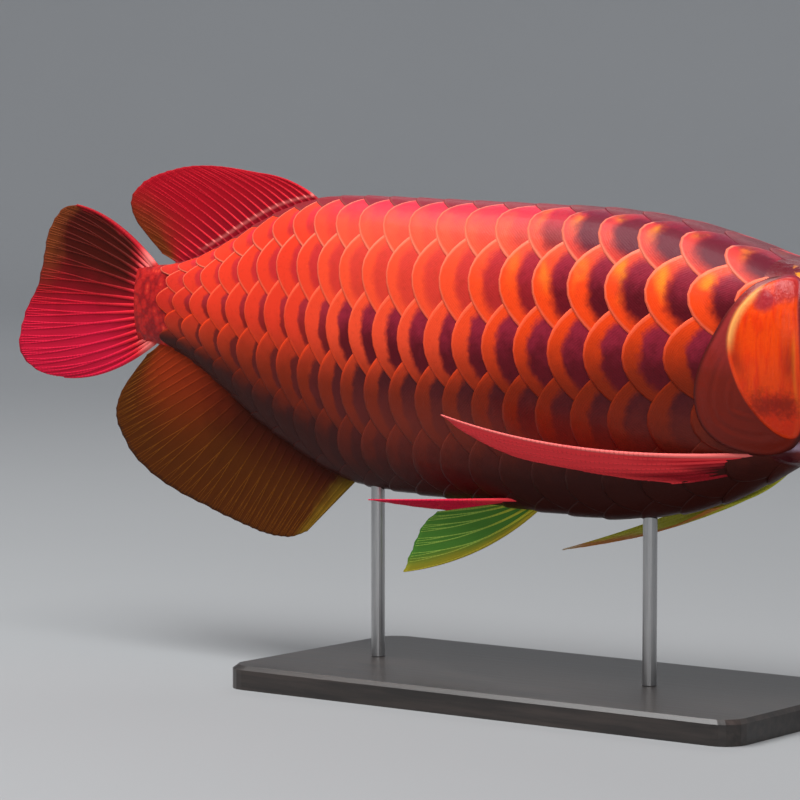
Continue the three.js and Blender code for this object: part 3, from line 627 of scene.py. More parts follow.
def skin_paint(hue):
    p = Paint("wet_skin")
    station, level = p.fish_place()
    share = p.plus(p.mark("share"), p.times(p.grain(60, 3), 0.12))
    blotch = p.noise(45, 4, 0.6)
    fine = p.noise(260, 3, 0.6)
    small = p.cells(430, p.stretch((1, 1, 1.3)))
    scale = p.cells(250, p.stretch((1, 1, 0.8)))
    flames = p.times(p.step(p.noise(70, 4, 0.65), 0.55, 0.62), p.step(share, 0.07, 0.16),
                     p.step(share, 0.33, 0.25), p.step(station, 70, 96))
    shoulder_highlight = p.plus(p.oval((station, level), (96, -55.5), (8, 3.5)), p.times(fine, 0.6))
    stalk = p.layers(
        hue.tail_root,
        (p.times(p.step(scale, 0.35, 0.75), 0.55), hue.core),
        (p.times(p.step(scale, 0.35, 0.1), p.step(blotch, 0.4, 0.6), 0.6), hue.band_coral))
    colour = p.layers(
        hue.head_red,
        (p.step(blotch, 0.35, 0.7), hue.head_orange),
        (p.times(p.mark("cheek"), p.step(fine, 0.25, 0.6)), hue.gill_orange),
        (p.times(p.step(share, 0.74, 0.92), p.step(station, 30, 60), 0.8), hue.throat),
        (p.times(p.step(share, 0.3, 0.14), 0.94), hue.head_top),
        (flames, hue.flame_and_highlight),
        # Painted shade: sunken skin, such as the eye socket, the nostril pit and the throat folds, is
        # darkened to the scale core colour
        (p.step(p.mark("relief"), 0.3, -0.9), hue.core),
        # Painted shade in the groove between the jaws
        (p.mark("mouth"), hue.dark),
        (p.step(station, 112, 122), hue.under_skin),
        (p.step(station, 462, 478), stalk),
        (p.times(p.step(share, 0.7, 0.8), p.hill(station, 84, 100, 160)), hue.under_skin),
        # Painted highlight: a pale lilac spot on the shoulder behind the throat
        (p.times(p.step(shoulder_highlight, 1.4, 0.5), 0.75), hue.lilac))
    height = p.plus(p.times(p.noise(900, 3, 0.6), 0.5), p.times(small, 0.8), p.times(p.noise(150, 3), 1.5))
    return p.finish(colour, p.step(fine, -0.3, 1.6), p.bump(height, 0.25), specular_ior_level=0.14,
                    coat_weight=0.06, coat_roughness=0.1)


# Scales

def free_edge(b):
    """Rear edge of a scale in half columns, at an offset in rows from its middle."""
    return 1.32 * (1 - np.abs(1.5 * b) ** 2.044)


def scale_plate(sizes):
    """One scale on the lattice: x in half columns, y in rows, z in steps of the free edge's height."""
    across, tall = 14, 0.74
    column_mm, row_mm = 12.7, 21
    b = tall * np.sin(np.linspace(-1, 1, across + 1) * math.pi / 2)

    # The top runs from the covered front edge to the free rear edge, and the underside runs back below it
    share = np.array([0, 0.22, 0.42, 0.58, 0.71, 0.82, 0.9, 0.955, 1.0])
    front = -1.75 + 0.5 * (b / tall) ** 2
    rear = free_edge(b)
    x = front[None, :] + (rear - front)[None, :] * share[:, None]
    w = 0.5 + 0.5 * x + 0.14 * (1 - (1.35 * b) ** 2)[None, :] - 0.6 * smooth(x, -1, -1.6)
    w[-1] -= 0.2
    w[-2] -= 0.03
    edge_w = w[-1]
    thick = sizes.scale_thickness
    lower_x = [rear - 0.01, rear - 0.35, np.minimum(rear, 0) - 0.5, front]
    lower_w = [edge_w - thick * 0.7, edge_w - thick - 0.05, np.full_like(b, -0.75), w[0] - 0.4]
    x = np.concatenate([x, lower_x])
    w = np.concatenate([w, lower_w])
    y = np.broadcast_to(b, x.shape)

    # Marks say how far each point is from the free edge, and where it lies on the scale's own map
    along = np.linspace(-tall, tall, 60)
    line = np.stack([free_edge(along) * column_mm, along * row_mm], -1)
    edge = np.full(x.shape, 1e9)
    for start, end in zip(line[:-1], line[1:]):
        edge = np.minimum(edge, line_distance(x * column_mm, y * row_mm, *start, *end)[0])
    edge[-len(lower_x):] = 0
    own = np.empty(x.shape + (2,))
    own[..., 0] = np.concatenate([share * 0.9, [0.92, 0.94, 0.97, 1.0]])[:, None]
    own[..., 1] = np.linspace(0, 1, across + 1)[None, :]

    rings, columns = x.shape
    faces = []
    for i in range(rings):
        n = (i + 1) % rings
        for k in range(across):
            faces.append([i * columns + k, i * columns + k + 1, n * columns + k + 1, n * columns + k])
    for k, turn in ((0, 1), (across, -1)):
        for i in range(1, rings - 2):
            faces.append([k, i * columns + k, (i + 1) * columns + k][::turn])
    marks = {"edge": edge.ravel() / column_mm}
    return make_object("scale_plate", np.stack([x, y, w], -1).reshape(-1, 3), faces, marks,
                       {"scale_uv": own.reshape(-1, 2)})


def scale_ground(sizes):
    """The body's surface as a sheet with the lattice for its map, and the rise of a free edge on it."""
    columns, rows = 261, 181
    u, v = np.meshgrid(np.linspace(0, 1, columns), np.linspace(0, 1, rows), indexing="ij")
    s = column_station(MAP_START[0] + MAP_SPAN[0] * u)
    row = MAP_START[1] + MAP_SPAN[1] * v
    along = (s - SCALE_START) / (SCALE_END - SCALE_START)
    step = between(millimetres(sizes.edge_front), millimetres(sizes.edge_rear), along)
    down = BELLY_ROW - np.abs(np.clip(row, 0, ROWS) - BELLY_ROW)
    plain = row_point(s, row)[0]
    under = inside_by(plain[..., 0], plain[..., 2], closed(GILL))
    step = step * (0.12 + 0.88 * smooth(under, 1, -11)) * (0.4 + 0.6 * smooth(down, 0.1, 1.0))
    step = step * (1 - 0.65 * smooth(s, 195, 130) * smooth(down, 2.4, 1.2))
    step = step * (1 - 0.35 * smooth(down, 4.6, 5.4))
    sink = -1.2 * np.maximum(smooth(s, 106, 97), smooth(under, 1, 3))
    points, out = row_point(s, row, sink)
    rise = out * step[..., None] * (-MILLIMETRE, MILLIMETRE, MILLIMETRE)
    marks = {"rise": rise.reshape(-1, 3), "lattice": np.stack([u, v, 0 * u], -1).reshape(-1, 3)}
    return plain_object("scale_ground", to_frame(points), (), grid_faces(columns, rows), marks)


def scale_tree(nodes, given):
    """Scales set on lattice points and then laid on the body."""
    plate, ground = nodes.shape_of(given["Plate"]), nodes.shape_of(given["Ground"])
    values = {"Points": given["Geometry"], "Instance": plate}
    set_on = nodes.add("GeometryNodeInstanceOnPoints", values).outputs[0]
    flat = nodes.add("GeometryNodeRealizeInstances", {"Geometry": set_on}).outputs[0]
    place_now = nodes.add("GeometryNodeInputPosition").outputs[0]
    kept = nodes.store(flat, "lattice_at", place_now, "FLOAT_VECTOR", "POINT")
    own, cell = nodes.parts(nodes.named("scale_uv")), nodes.parts(nodes.named("cell"))
    at = nodes.parts(place_now)
    row = nodes.minus(cell[1], given["First row"])
    u = nodes.math("DIVIDE", nodes.math("MULTIPLY_ADD", own[0], 1.92, cell[0]), LAST_COLUMN + 3.0)
    v = nodes.math("DIVIDE", nodes.math("MULTIPLY_ADD", own[1], 0.94, row), given["Row count"])
    kept = nodes.store(kept, "OFBake", nodes.vector(u, v), "FLOAT2", "CORNER")
    u, v = (nodes.math("DIVIDE", nodes.minus(at[k], MAP_START[k]), MAP_SPAN[k]) for k in (0, 1))
    spot = nodes.vector(u, v)

    def read(value):
        values = {"Mesh": ground, "Value": value, "UV Map": nodes.named("lattice"), "Sample UV": spot}
        return nodes.add("GeometryNodeSampleUVSurface", values, data_type="FLOAT_VECTOR").outputs[0]

    values = {0: read(nodes.named("rise")), 3: at[2]}
    lifted = nodes.add("ShaderNodeVectorMath", values, operation="SCALE").outputs[0]
    laid = nodes.add("ShaderNodeVectorMath", {0: read(place_now), 1: lifted}, operation="ADD").outputs[0]
    return nodes.add("GeometryNodeSetPosition", {"Geometry": kept, "Position": laid}).outputs[0]


def build_scales(sizes, colours):
    helpers = {"Plate": scale_plate(sizes), "Ground": scale_ground(sizes)}
    inputs = {"Plate": "Object", "Ground": "Object", "Material": "Material", "First row": "Float",
              "Row count": "Float"}
    paint = scale_paint(colours)
    rng = np.random.default_rng(7)
    parts = {"scales_left": range(1, BELLY_ROW), "scales_right": range(BELLY_ROW + 1, ROWS),
             "scales_ridge": (0, BELLY_ROW)}
    for name, rows in parts.items():
        cells = np.array([(c, row, 0) for row in rows for c in range(row % 2, LAST_SCALE + 1, 2)], float)
        base = plain_object(name, cells, marks={"cell": cells, "tone": rng.random(len(cells))})
        first = float(min(rows))
        values = {**helpers, "Material": paint, "First row": first, "Row count": max(rows) - first + 1.2}
        place(grown(base, "scale_coat", inputs, scale_tree, values), None, "skin")
    for helper in helpers.values():
        bpy.data.objects.remove(helper)


def scale_paint(hue):
    """A band along each scale's free edge and a dark core, in colours that change with row and column, with
    painted shade low on the body and painted highlights high on it.
    """
    p = Paint("scale")
    at, cell = p.mark_parts("lattice_at"), p.mark_parts("cell")
    tone = p.minus(p.mark("tone"), 0.5)
    down, middle = (p.minus(BELLY_ROW, p.math("ABSOLUTE", p.minus(row, BELLY_ROW)))
                    for row in (at[1], cell[1]))
    along = p.times(cell[0], 1 / LAST_COLUMN)
    level = p.fish_place()[1]
    uneven = p.grain(130, 3, 0.6)
    fine = p.grain(420, 3, 0.65)
    mottle = p.noise(240, 4, 0.7)
    soft = p.noise(70, 1, 0.5)
    lower = p.plus(down, p.times(uneven, 0.5))
    x = p.plus(p.minus(at[0], cell[0]), p.times(uneven, 0.5))
    b = p.plus(p.minus(down, middle), p.times(fine, 0.12))
    rear = p.step(along, 0.22, 0.42)
    tail = p.step(along, 0.52, 0.66)
    front = p.times(p.step(along, 0.27, 0.19), p.step(middle, 1.7, 1.2))
    # Painted shade: shade is the level on the body, made uneven and lowered towards the front and the tail.
    # Where it is low, the masks below darken the scales, as under light from above.
    tilt = p.plus(p.times(p.hill(along, 0.0, 0.45, 0.9), 14.0), -9.0)
    shade = p.plus(level, p.times(uneven, 8.0), tilt)
    pink = p.times(p.step(middle, 1.6, 1.2), p.step(b, 0.15, -0.35), p.step(x, 0.9, 0.2), p.flip(front), 0.8)
    # Painted highlight: yellow-orange glints in the bands of the upper front scales
    painted_glint = p.times(p.hill(x, 0.05, 0.55, 1.15), p.step(soft, 0.36, 0.62), p.hill(b, -0.62, -0.25, 0.35),
                    p.step(middle, 2.7, 2.2), p.step(along, 0.34, 0.14), 0.8)
    band = p.layers(
        hue.back_pink,
        (p.step(p.plus(lower, p.times(mottle, 0.6)), 0.7, 1.6), hue.band_coral),
        (p.times(p.step(lower, 1.3, 2.2), p.flip(p.times(rear, 0.6))), hue.band_orange),
        (pink, hue.back_pink),
        (p.times(tail, p.step(lower, 4.4, 3.2)), hue.tail_red),
        (p.times(p.step(along, 0.8, 1.0), 0.8), hue.tail_root),
        (p.times(front, 0.45), hue.nape_red),
        # Painted shade: the bands turn brown where the painted shade is low
        (p.step(shade, 0, -38), hue.band_shaded),
        (painted_glint, hue.flame_and_highlight))
    band = p.darken(p.times(p.step(fine, 0.02, 0.2), 0.2), band, (0.65, 0.5, 0.5))

    core = p.layers(
        hue.core_mauve,
        (p.step(p.plus(b, p.times(uneven, 0.6)), -0.4, 0.25), hue.core),
        (p.times(p.step(middle, 2.7, 2.3), p.step(along, 0.16, 0.4), 0.7), hue.core_red),
        (p.step(middle, 3.2, 4.0), hue.core_grey))
    core = p.darken(p.times(p.step(mottle, 0.45, 0.75), 0.5), core, (0.5, 0.45, 0.5))
    core = p.layers(
        core,
        (p.times(p.step(middle, 1.5, 1.2), p.step(b, 0.3, -0.2), p.flip(front)), hue.back_pink),
        (p.times(front, 0.9), p.dim(hue.core_mauve, (0.42, 0.36, 0.5))))
    width = p.plus(0.88, p.times(along, 0.35), p.times(tail, 0.3), p.times(tone, 0.3), p.times(uneven, 0.25),
                   p.times(front, -0.22))
    tall = p.plus(0.55, p.times(tail, -0.15))
    out = p.plus(p.square(x, -0.9, p.minus(2.22, width)), p.square(b, 0.0, tall))
    upper = p.times(rear, p.step(middle, 2.7, 2.3), p.flip(p.times(tail, 0.9)), 0.5)
    top = p.times(p.step(along, 0.2, 0.32), p.step(middle, 1.7, 1.3), p.flip(tail), 0.5)
    strength = p.times(p.flip(upper), p.flip(top), p.flip(p.times(tail, 0.25)), p.step(along, 1.02, 0.86))
    blur = p.plus(0.26, p.times(p.step(middle, 3.4, 1.6), 0.2))
    inner = p.math("DIVIDE", p.minus(p.plus(1.0, blur), out), p.times(blur, 2.0))

    rim = p.mix(p.step(lower, 1.2, 3.6), hue.rim_highlight_pink, hue.band_orange)
    nape = p.times(front, p.step(p.plus(b, p.times(uneven, 0.8)), -0.1, -0.42), 0.92)
    # Painted shade: the lowest scales, and the lower rows towards the rear, take the dark belly colour
    dark = p.step(p.plus(shade, p.times(mottle, 12.0)), -40, -76)
    dark = p.math("MAXIMUM", dark, p.times(p.step(lower, 4.1, 5.0), p.step(along, 0.42, 0.62)))
    colour = p.layers(
        band,
        (p.times(p.step(inner, 0.0, 1.0), strength), core),
        # Pale rim on each free edge: partly the scale's own edge colour, partly a painted highlight that
        # fades where the painted shade is low
        (p.times(p.step(p.mark("edge"), 0.15, 0.06), p.step(shade, -36, -10), 0.6), rim),
        (nape, p.mix(p.step(soft, 0.42, 0.66), hue.nape, hue.nape_red)),
        # Painted shade: the lower rows at the front and middle are dulled to brown
        (p.times(p.step(lower, 3.5, 4.5), p.step(along, 0.66, 0.4), 0.75), hue.low_flank_shaded),
        (p.times(dark, 0.94), hue.belly),
        (p.times(p.step(lower, 0.45, 0.1), 0.85), hue.ridge))
    rings = p.wave(p.plus(p.mark("edge"), p.times(fine, 0.05)), 14)
    height = p.plus(p.times(rings, 0.08), p.times(p.noise(1400, 3), 0.3), p.times(uneven, 1.2))
    return p.finish(colour, p.plus(0.45, p.times(fine, 0.25)), p.bump(height, 0.22), specular_ior_level=0.12,
                    coat_weight=0.05, coat_roughness=0.1)


# Gill covers, eyes and barbels

def build_gill_covers(sizes, colours):
    paint = gill_paint(colours)
    outline = closed(GILL, 192)
    centre = outline.mean(0)

    def ring(share):
        return (centre + share * (outline - centre)).T

    reach = 1 - (1 - np.linspace(0.03, 1, 52)) ** 1.6
    s, z = np.stack([ring(share) for share in reach], 1)
    edge = np.maximum(inside_by(s, z, outline), 0)
    bone = inside_by(s, z, closed(OPERCLE))
    front = smooth(s, 84, 97)
    lift = 0.25 + 0.85 * front + (0.7 * smooth(edge, 0, 6) - 0.3 * smooth(edge, 0.8, 0)) * front
    lift += millimetres(sizes.opercle_lift) * smooth(bone, -0.5, 1.3) * (0.45 + 0.55 * front)
    lift += 0.15 * np.sin(edge * 1.1) * smooth(bone, -1, -5) * smooth(z, 0, -30)
    marks = {"edge": edge, "bone": bone}
    marks = {key: np.concatenate([value.ravel(), np.tile(value[-1], 3), value[0, :1], value[-1, :1]])
             for key, value in marks.items()}
    for side, name in ((-1.0, "right"), (1.0, "left")):
        under = [flank_point(*ring(1.0), side, lift[-1] - 0.55),
                 flank_point(*ring(0.93), side, lift[-1] - 0.7),
                 flank_point(*ring(0.05), side, -1.0)]
        points, faces = ringed(np.concatenate([flank_point(s, z, side, lift), np.stack(under)]))
        piece = make_object("gill_plate_" + name, to_frame(points), faces, marks)
        place(piece, paint, "gill_plate", "gill_cover_" + name)


def gill_paint(hue):
    """An orange bone with streaks, a brown soft edge behind it, and lilac and cream between them above."""
    p = Paint("gill_cover")
    station, level = p.fish_place()
    uneven = p.grain(90, 4, 0.6)
    fine = p.grain(500, 3, 0.6)
    streaks = p.grain(110, 3, 0.6, p.stretch((3, 3, 0.35)))
    edge = p.mark("edge")
    bone = p.plus(p.mark("bone"), p.times(uneven, 1.2))
    wide = p.plus(level, p.times(uneven, 14))
    soft = p.mix(p.step(wide, -26, -4), hue.gill_soft, hue.gill_lilac)
    # Painted shadow: the soft edge darkens towards its rim
    soft = p.mix(p.times(p.step(edge, 2.6, 0.4), 0.7), soft, hue.dark)
    line = p.times(p.hill(station, 85.6, 87.0, 88.8), p.step(level, 11, 5), p.step(level, -46, -38))
    orange = p.layers(
        hue.gill_orange,
        (p.times(p.step(p.plus(streaks, p.times(uneven, 0.6)), -0.12, 0.24), 0.6), hue.gill_rim),
        (p.times(p.step(level, -26, -42), 0.6), hue.gill_rim),
        (p.times(line, p.step(level, 2, -12), 0.4), hue.flame_and_highlight))
    upper = p.times(p.step(level, -16, -3), p.step(station, 103, 107))
    blotch = p.oval((station, level), (98, -35.5), (10, 5.5))
    blotch = p.plus(blotch, p.times(uneven, 3.0), p.times(fine, 1.6))
    notch = p.plus(p.oval((station, level), (101, 12.5), (6, 5)), p.times(uneven, 1.6))
    above = p.times(p.step(wide, 10, 15), p.step(station, 101, 97), 0.8)
    colour = p.layers(
        soft,
        (p.step(bone, -0.9, 0.3), orange),
        (p.times(p.hill(p.mark("bone"), -5.5, -2.6, -0.4), upper, 0.7), hue.gill_lilac),
        (p.times(p.hill(bone, -1.8, 1.0, 5.4), upper, 0.85), hue.gill_cream),
        (p.times(p.step(bone, 10, 4), p.hill(level, -30, -16, 2), p.step(bone, 1, 3), 0.5), hue.gill_blotch),
        (p.times(p.hill(bone, -0.6, 0.9, 2.8), p.step(level, -6, -24), 0.75), hue.band_orange),
        (p.times(p.step(blotch, 1.7, 0.1), 0.7), hue.gill_blotch),
        (p.times(p.math("MAXIMUM", p.step(notch, 1.3, 0.5), above), 0.8), hue.core_mauve))
    folds = p.times(p.wave(edge, 0.28), p.step(bone, 0, -3), 0.12)
    ribs = p.times(streaks, p.step(bone, 0, 2), 2.4)
    height = p.plus(folds, ribs, p.times(uneven, 1.2), p.times(fine, 0.6))
    return p.finish(colour, p.plus(0.34, p.times(fine, 0.25)), p.bump(height, 0.35), specular_ior_level=0.2,
                    coat_weight=0.12, coat_roughness=0.1)


def build_eyes(sizes, colours):
    paint = eye_paint(colours)
    turn = np.linspace(0, 2 * math.pi, 64, endpoint=False)
    tilt = np.linspace(0.02, math.pi - 0.02, 44)[:, None]
    ring = np.sin(tilt)
    radius = EYE["radius"]
    across, up = ring * np.cos(turn), ring * np.sin(turn)
    bulge = millimetres(sizes.cornea_bulge) * smooth(ring, 0.72, 0.2) * (np.cos(tilt) > 0)
    out = (EYE["depth"] * np.cos(tilt) + bulge) * np.ones_like(across)
    at = np.stack([across, up, np.zeros_like(across)], -1).reshape(-1, 3)
    marks = {"eye_at": np.concatenate([at, np.zeros((2, 3))])}
    for side, name in ((-1.0, "right"), (1.0, "left")):
        centre = flank_point(EYE["station"], EYE["level"], side, -EYE["under"])
        points, faces = ringed(centre + np.stack([radius * across, side * out, radius * up], -1))
        place(make_object("eyeball_" + name, to_frame(points), faces, marks), paint, "eye", "eye_" + name)


def eye_paint(hue):
    p = Paint("eye")
    pupil = (0.002, 0.002, 0.003)
    at = p.mark_parts("eye_at")
    out = p.oval(at, (0, 0), (1, 1))
    turn = p.math("ARCTAN2", at[1], at[0])
    spokes = p.noise(1.0, 3, 0.7, p.vector(p.times(turn, 7.0), p.times(out, 2.5)))
    colour = p.layers(
        hue.iris_dark,
        (p.step(spokes, 0.35, 0.7), hue.iris_gold),
        (p.times(p.step(at[1], 0.25, 0.6), 0.8), hue.dark),
        (p.hill(out, 0.4, 0.45, 0.52), hue.iris_gold),
        (p.step(out, 0.43, 0.41), pupil),
        (p.step(out, 0.76, 0.86), hue.dark))
    return p.finish(colour, 0.12, p.bump(p.times(spokes, p.step(out, 0.4, 0.5)), 0.1), coat_weight=1.0,
                    coat_roughness=0.02)


def tube_tree(nodes, given):
    """Round rods along every line of the mesh, as thick as its points say."""
    lines = nodes.add("GeometryNodeMeshToCurve", {"Mesh": given["Geometry"]}).outputs[0]
    values = {"Resolution": given["Sides"], "Radius": 1.0}
    circle = nodes.add("GeometryNodeCurvePrimitiveCircle", values).outputs[0]
    thick = nodes.named("thick", "FLOAT")
    values = {"Curve": lines, "Profile Curve": circle, "Scale": thick, "Fill Caps": True}
    rods = nodes.add("GeometryNodeCurveToMesh", values).outputs[0]
    return nodes.add("GeometryNodeSetShadeSmooth", {"Geometry": rods}).outputs[0]


def finned_tree(nodes, given):
    """The rods of a fin together with its membrane."""
    join = nodes.add("GeometryNodeJoinGeometry")
    for piece in (tube_tree(nodes, given), nodes.shape_of(given["Membrane"])):
        nodes.put(join.inputs[0], piece)
    return join.outputs[0]


def line_object(name, lines):
    """One object of separate lines: each a list of points, thicknesses in millimetres and marks."""
    points, thick, at = (np.concatenate(values) for values in zip(*lines))
    edges, start = [], 0
    for line in lines:
        end = start + len(line[0])
        edges += [(k, k + 1) for k in range(start, end - 1)]
        start = end
    marks = {"thick": thick * MILLIMETRE, "fin_at": at, "rod": np.ones(len(points))}
    return plain_object(name, to_frame(points), edges, marks=marks)


BARBEL = [[3, 4.5, 4], [-7, 7, 3], [-19, 11, 7], [-28, 14, 16]]


def build_barbels(sizes, colours):
    paint = barbel_paint(colours)
    share = np.linspace(0, 1, 40)
    thick = np.interp(share, np.linspace(0, 1, 9), [1.8, 1.65, 1.5, 1.4, 1.3, 1.15, 1.0, 0.8, 0.5])
    thick[-1] = 0.2
    for side, name in ((-1.0, "right"), (1.0, "left")):
        path = catmull(BARBEL, share) * (1, side, 1)
        at = np.stack([share * 0, share, steps_along(path)], -1)
        base = line_object("feeler_" + name, [(path, thick, at)])
        values = {"Sides": 18, "Material": paint}
        place(grown(base, "feeler", {"Sides": "Int", "Material": "Material"}, tube_tree, values), None, "jaw",
              "barbel_" + name)


def barbel_paint(hue):
    p = Paint("barbel")
    at = p.mark_parts("fin_at")
    colour = p.layers(
        hue.head_red,
        (p.step(at[1], 0.1, 0.9), hue.barbel_tip),
        (p.times(p.step(p.noise(300, 3), 0.45, 0.65), 0.5), hue.core))
    wrinkles = p.plus(p.wave(at[2], 0.55), p.times(p.noise(700, 2), 1.5))
    return p.finish(colour, 0.35, p.bump(wrinkles, 0.15), coat_weight=0.4, coat_roughness=0.12)


# Fins

def flat(*points):
    """Points on the fish's middle plane."""
    return [[s, 0, z] for s, z in points]


def between(a, b, u):
    return a + (b - a) * u


def keel_root(first, last, line, sink):
    """Root of a fin between two stations on the back or the belly line, sunk into the body."""
    def root(u):
        s = between(first, last, u)
        return np.stack([s, 0 * u, line(s) + sink], -1)

    return root


def straight(*points):
    """A line or curve through points, as a function of the share along it."""
    return lambda u: catmull(points, u)


# Each fin has its root, the bow between root and edge, its edge from front to rear, the number and thickness
# of its rays, the thickness of its membrane at root and edge, and how far it waves from side to side
FINS = {
    "dorsal_fin": {
        "root": keel_root(385, 479, back_line, -4),
        "bow": straight((-2, 0, 3), (-2, 0, 0)),
        "tips": flat((428, 69.5), (443, 71.8), (457, 73.3), (471, 73.5), (484, 72), (497, 69), (509, 64),
                     (516.5, 55.5), (513, 44), (495, 27)),
        "rays": 21, "rod": 0.95, "web": (1.2, 0.45),
    },
    "anal_fin": {
        "root": keel_root(362, 493, belly_line, 4),
        "bow": straight((0, 0, 0), (-2, 0, 0)),
        "tips": flat((397, -116), (407, -119.5), (418, -119.5), (430, -117.5), (444, -113.5), (463, -107.5),
                     (490, -98), (514, -84), (526, -68), (528, -57), (522, -45), (506, -28)),
        "rays": 28, "rod": 0.95, "web": (1.2, 0.45),
    },
    "caudal_fin": {
        "root": straight([498, 0, 18.5], [498, 0, 6], [498, 0, -6.5], [498, 0, -19]),
        "bow": straight((0, 0, 6), (0, 0, -6)),
        "tips": flat((556, 52), (567, 50.5), (575, 44), (581, 34), (583, 22), (586, 8), (591, -2), (595, -13),
                     (597, -25), (592, -34), (581, -40), (566, -42)),
        "rays": 18, "rod": 1.5, "web": (2.0, 0.4), "wave": 3,
    },
    "pectoral_fin_right": {
        "root": straight([103, -11, -59], [112, -7.5, -64]),
        "bow": straight((0, -12, -7.5), (0, -5, -2)),
        "tips": [[272.5, -52, -46.5], [261.5, -46, -55.5], [242, -37, -65.5], [216, -30, -70.5],
                 [191, -24, -74], [166, -18, -76.5]],
        "rays": 8, "rod": 1.15, "web": (1.1, 0.4),
    },
    "pectoral_fin_left": {
        "root": straight([99, 14, -56], [109, 10, -63]),
        "bow": straight((0, 10, -4), (0, 10, -4)),
        "tips": [[263, 39, -120], [252, 35, -118], [232, 29, -114], [206, 24, -108], [182, 20, -100],
                 [164, 17, -92]],
        "rays": 8, "rod": 1.15, "web": (1.1, 0.4),
    },
    "pelvic_fin_right": {
        "root": straight([247, -4, -90], [258, -3, -90]),
        "bow": straight((0, -4, 0), (0, -4, 0)),
        "tips": [[332, -32, -93], [325, -23, -95], [313, -15, -97], [300, -10, -98]],
        "rays": 6, "rod": 0.95, "web": (1.0, 0.4),
    },
    "pelvic_fin_left": {
        "root": straight([247, 4, -90], [258, 3, -90]),
        "bow": straight((-2, 3, -6.5), (0, 3, -1)),
        "tips": [[337, 4, -133], [331, 4, -120], [324, 3.5, -108], [315, 3, -101]],
        "rays": 6, "rod": 0.95, "web": (1.0, 0.4),
    },
}


def fin_point(fin, u, v):
    """Point of a fin's middle surface, u from its front ray to its rear one and v from root to edge."""
    u, v = np.broadcast_arrays(np.asarray(u, float), np.asarray(v, float))
    root, tip = fin["root"](u), catmull(fin["tips"], u)
    p = root + (tip - root) * v[..., None]
    p = p + (4 * v * (1 - v))[..., None] * fin["bow"](u)
    p[..., 1] += fin.get("wave", 0) * v * v * np.sin(2 * math.pi * u)
    return p


def membrane(name, fin):
    """Thin skin between the rays, with a scalloped edge."""
    gaps = fin["rays"] - 1
    columns, rows = gaps * 6 + 1, 28
    u = np.linspace(0, 1, columns)[:, None]
    v = np.linspace(0, 1, rows)[None, :]
    gap = np.abs(np.sin(math.pi * u * gaps))
    ragged = 0.003 * np.sin(u * 57) * np.sin(u * 23 + 1)
    reach = v * (1 - 0.006 * gap + ragged * smooth(v, 0.7, 1))
    middle = fin_point(fin, u, reach)
    normal = np.cross(np.gradient(middle, axis=0), np.gradient(middle, axis=1))
    normal /= np.linalg.norm(normal, axis=-1, keepdims=True) + 1e-9
    thick = between(*fin["web"], v) * (1 - 0.3 * gap)
    thick = np.where((u == 0) | (u == 1) | (v == 1), thick * 0.55, thick)[..., None] / 2
    size = columns * rows
    points = np.concatenate([(middle + sign * normal * thick).reshape(-1, 3) for sign in (1, -1)])
    front = grid_faces(columns, rows)
    faces = front + [[size + k for k in reversed(face)] for face in front]
    number = np.arange(size).reshape(columns, rows)
    border = np.concatenate([number[0], number[1:, -1], number[-1, -2::-1], number[-2:0:-1, 0]]).tolist()
    for a, b in zip(border, border[1:] + border[:1]):
        faces.append([b, a, size + a, size + b])
    run = np.linalg.norm(fin_point(fin, u, 1) - fin_point(fin, u, 0), axis=-1) * reach
    at = np.stack([u + 0 * v, v + 0 * u, run], -1).reshape(-1, 3)
    marks = {"fin_at": np.concatenate([at, at]), "rod": np.zeros(2 * size)}
    return make_object(name + "_membrane", to_frame(points), faces, marks)


def ray_lines(fin):
    """Rays that split in two and again in two towards the edge."""
    count = fin["rays"]
    lines = []

    def add(u, v, thick):
        path = fin_point(fin, u, v)
        run = steps_along(path) + np.linalg.norm(path[0] - fin_point(fin, u[0], 0.0))
        lines.append((path, thick * fin["rod"], np.stack([u, v, run], -1)))

    for k in range(count):
        u = k / (count - 1)
        # The first and the last ray stay whole
        if k in (0, count - 1):
            v = np.linspace(0, 0.995, 26)
            add(u + 0 * v, v, between(1.15, 0.35, v))
            continue
        v = np.linspace(0, 0.46, 12)
        add(u + 0 * v, v, between(1.0, 0.62, v / 0.46))
        for first in (-1, 1):
            v = np.linspace(0.45, 0.76, 9)
            part = u + first * 0.2 / count * smooth(v, 0.43, 0.8)
            add(part, v, between(0.56, 0.42, smooth(v, 0.45, 0.76)))
            for second in (-1, 1):
                v = np.linspace(0.755, 0.985, 7)
                part = u + (first * 0.2 * smooth(v, 0.43, 0.8) + second * 0.11 * smooth(v, 0.73, 1.0)) / count
                add(part, v, between(0.4, 0.25, smooth(v, 0.75, 0.99)))
    return lines


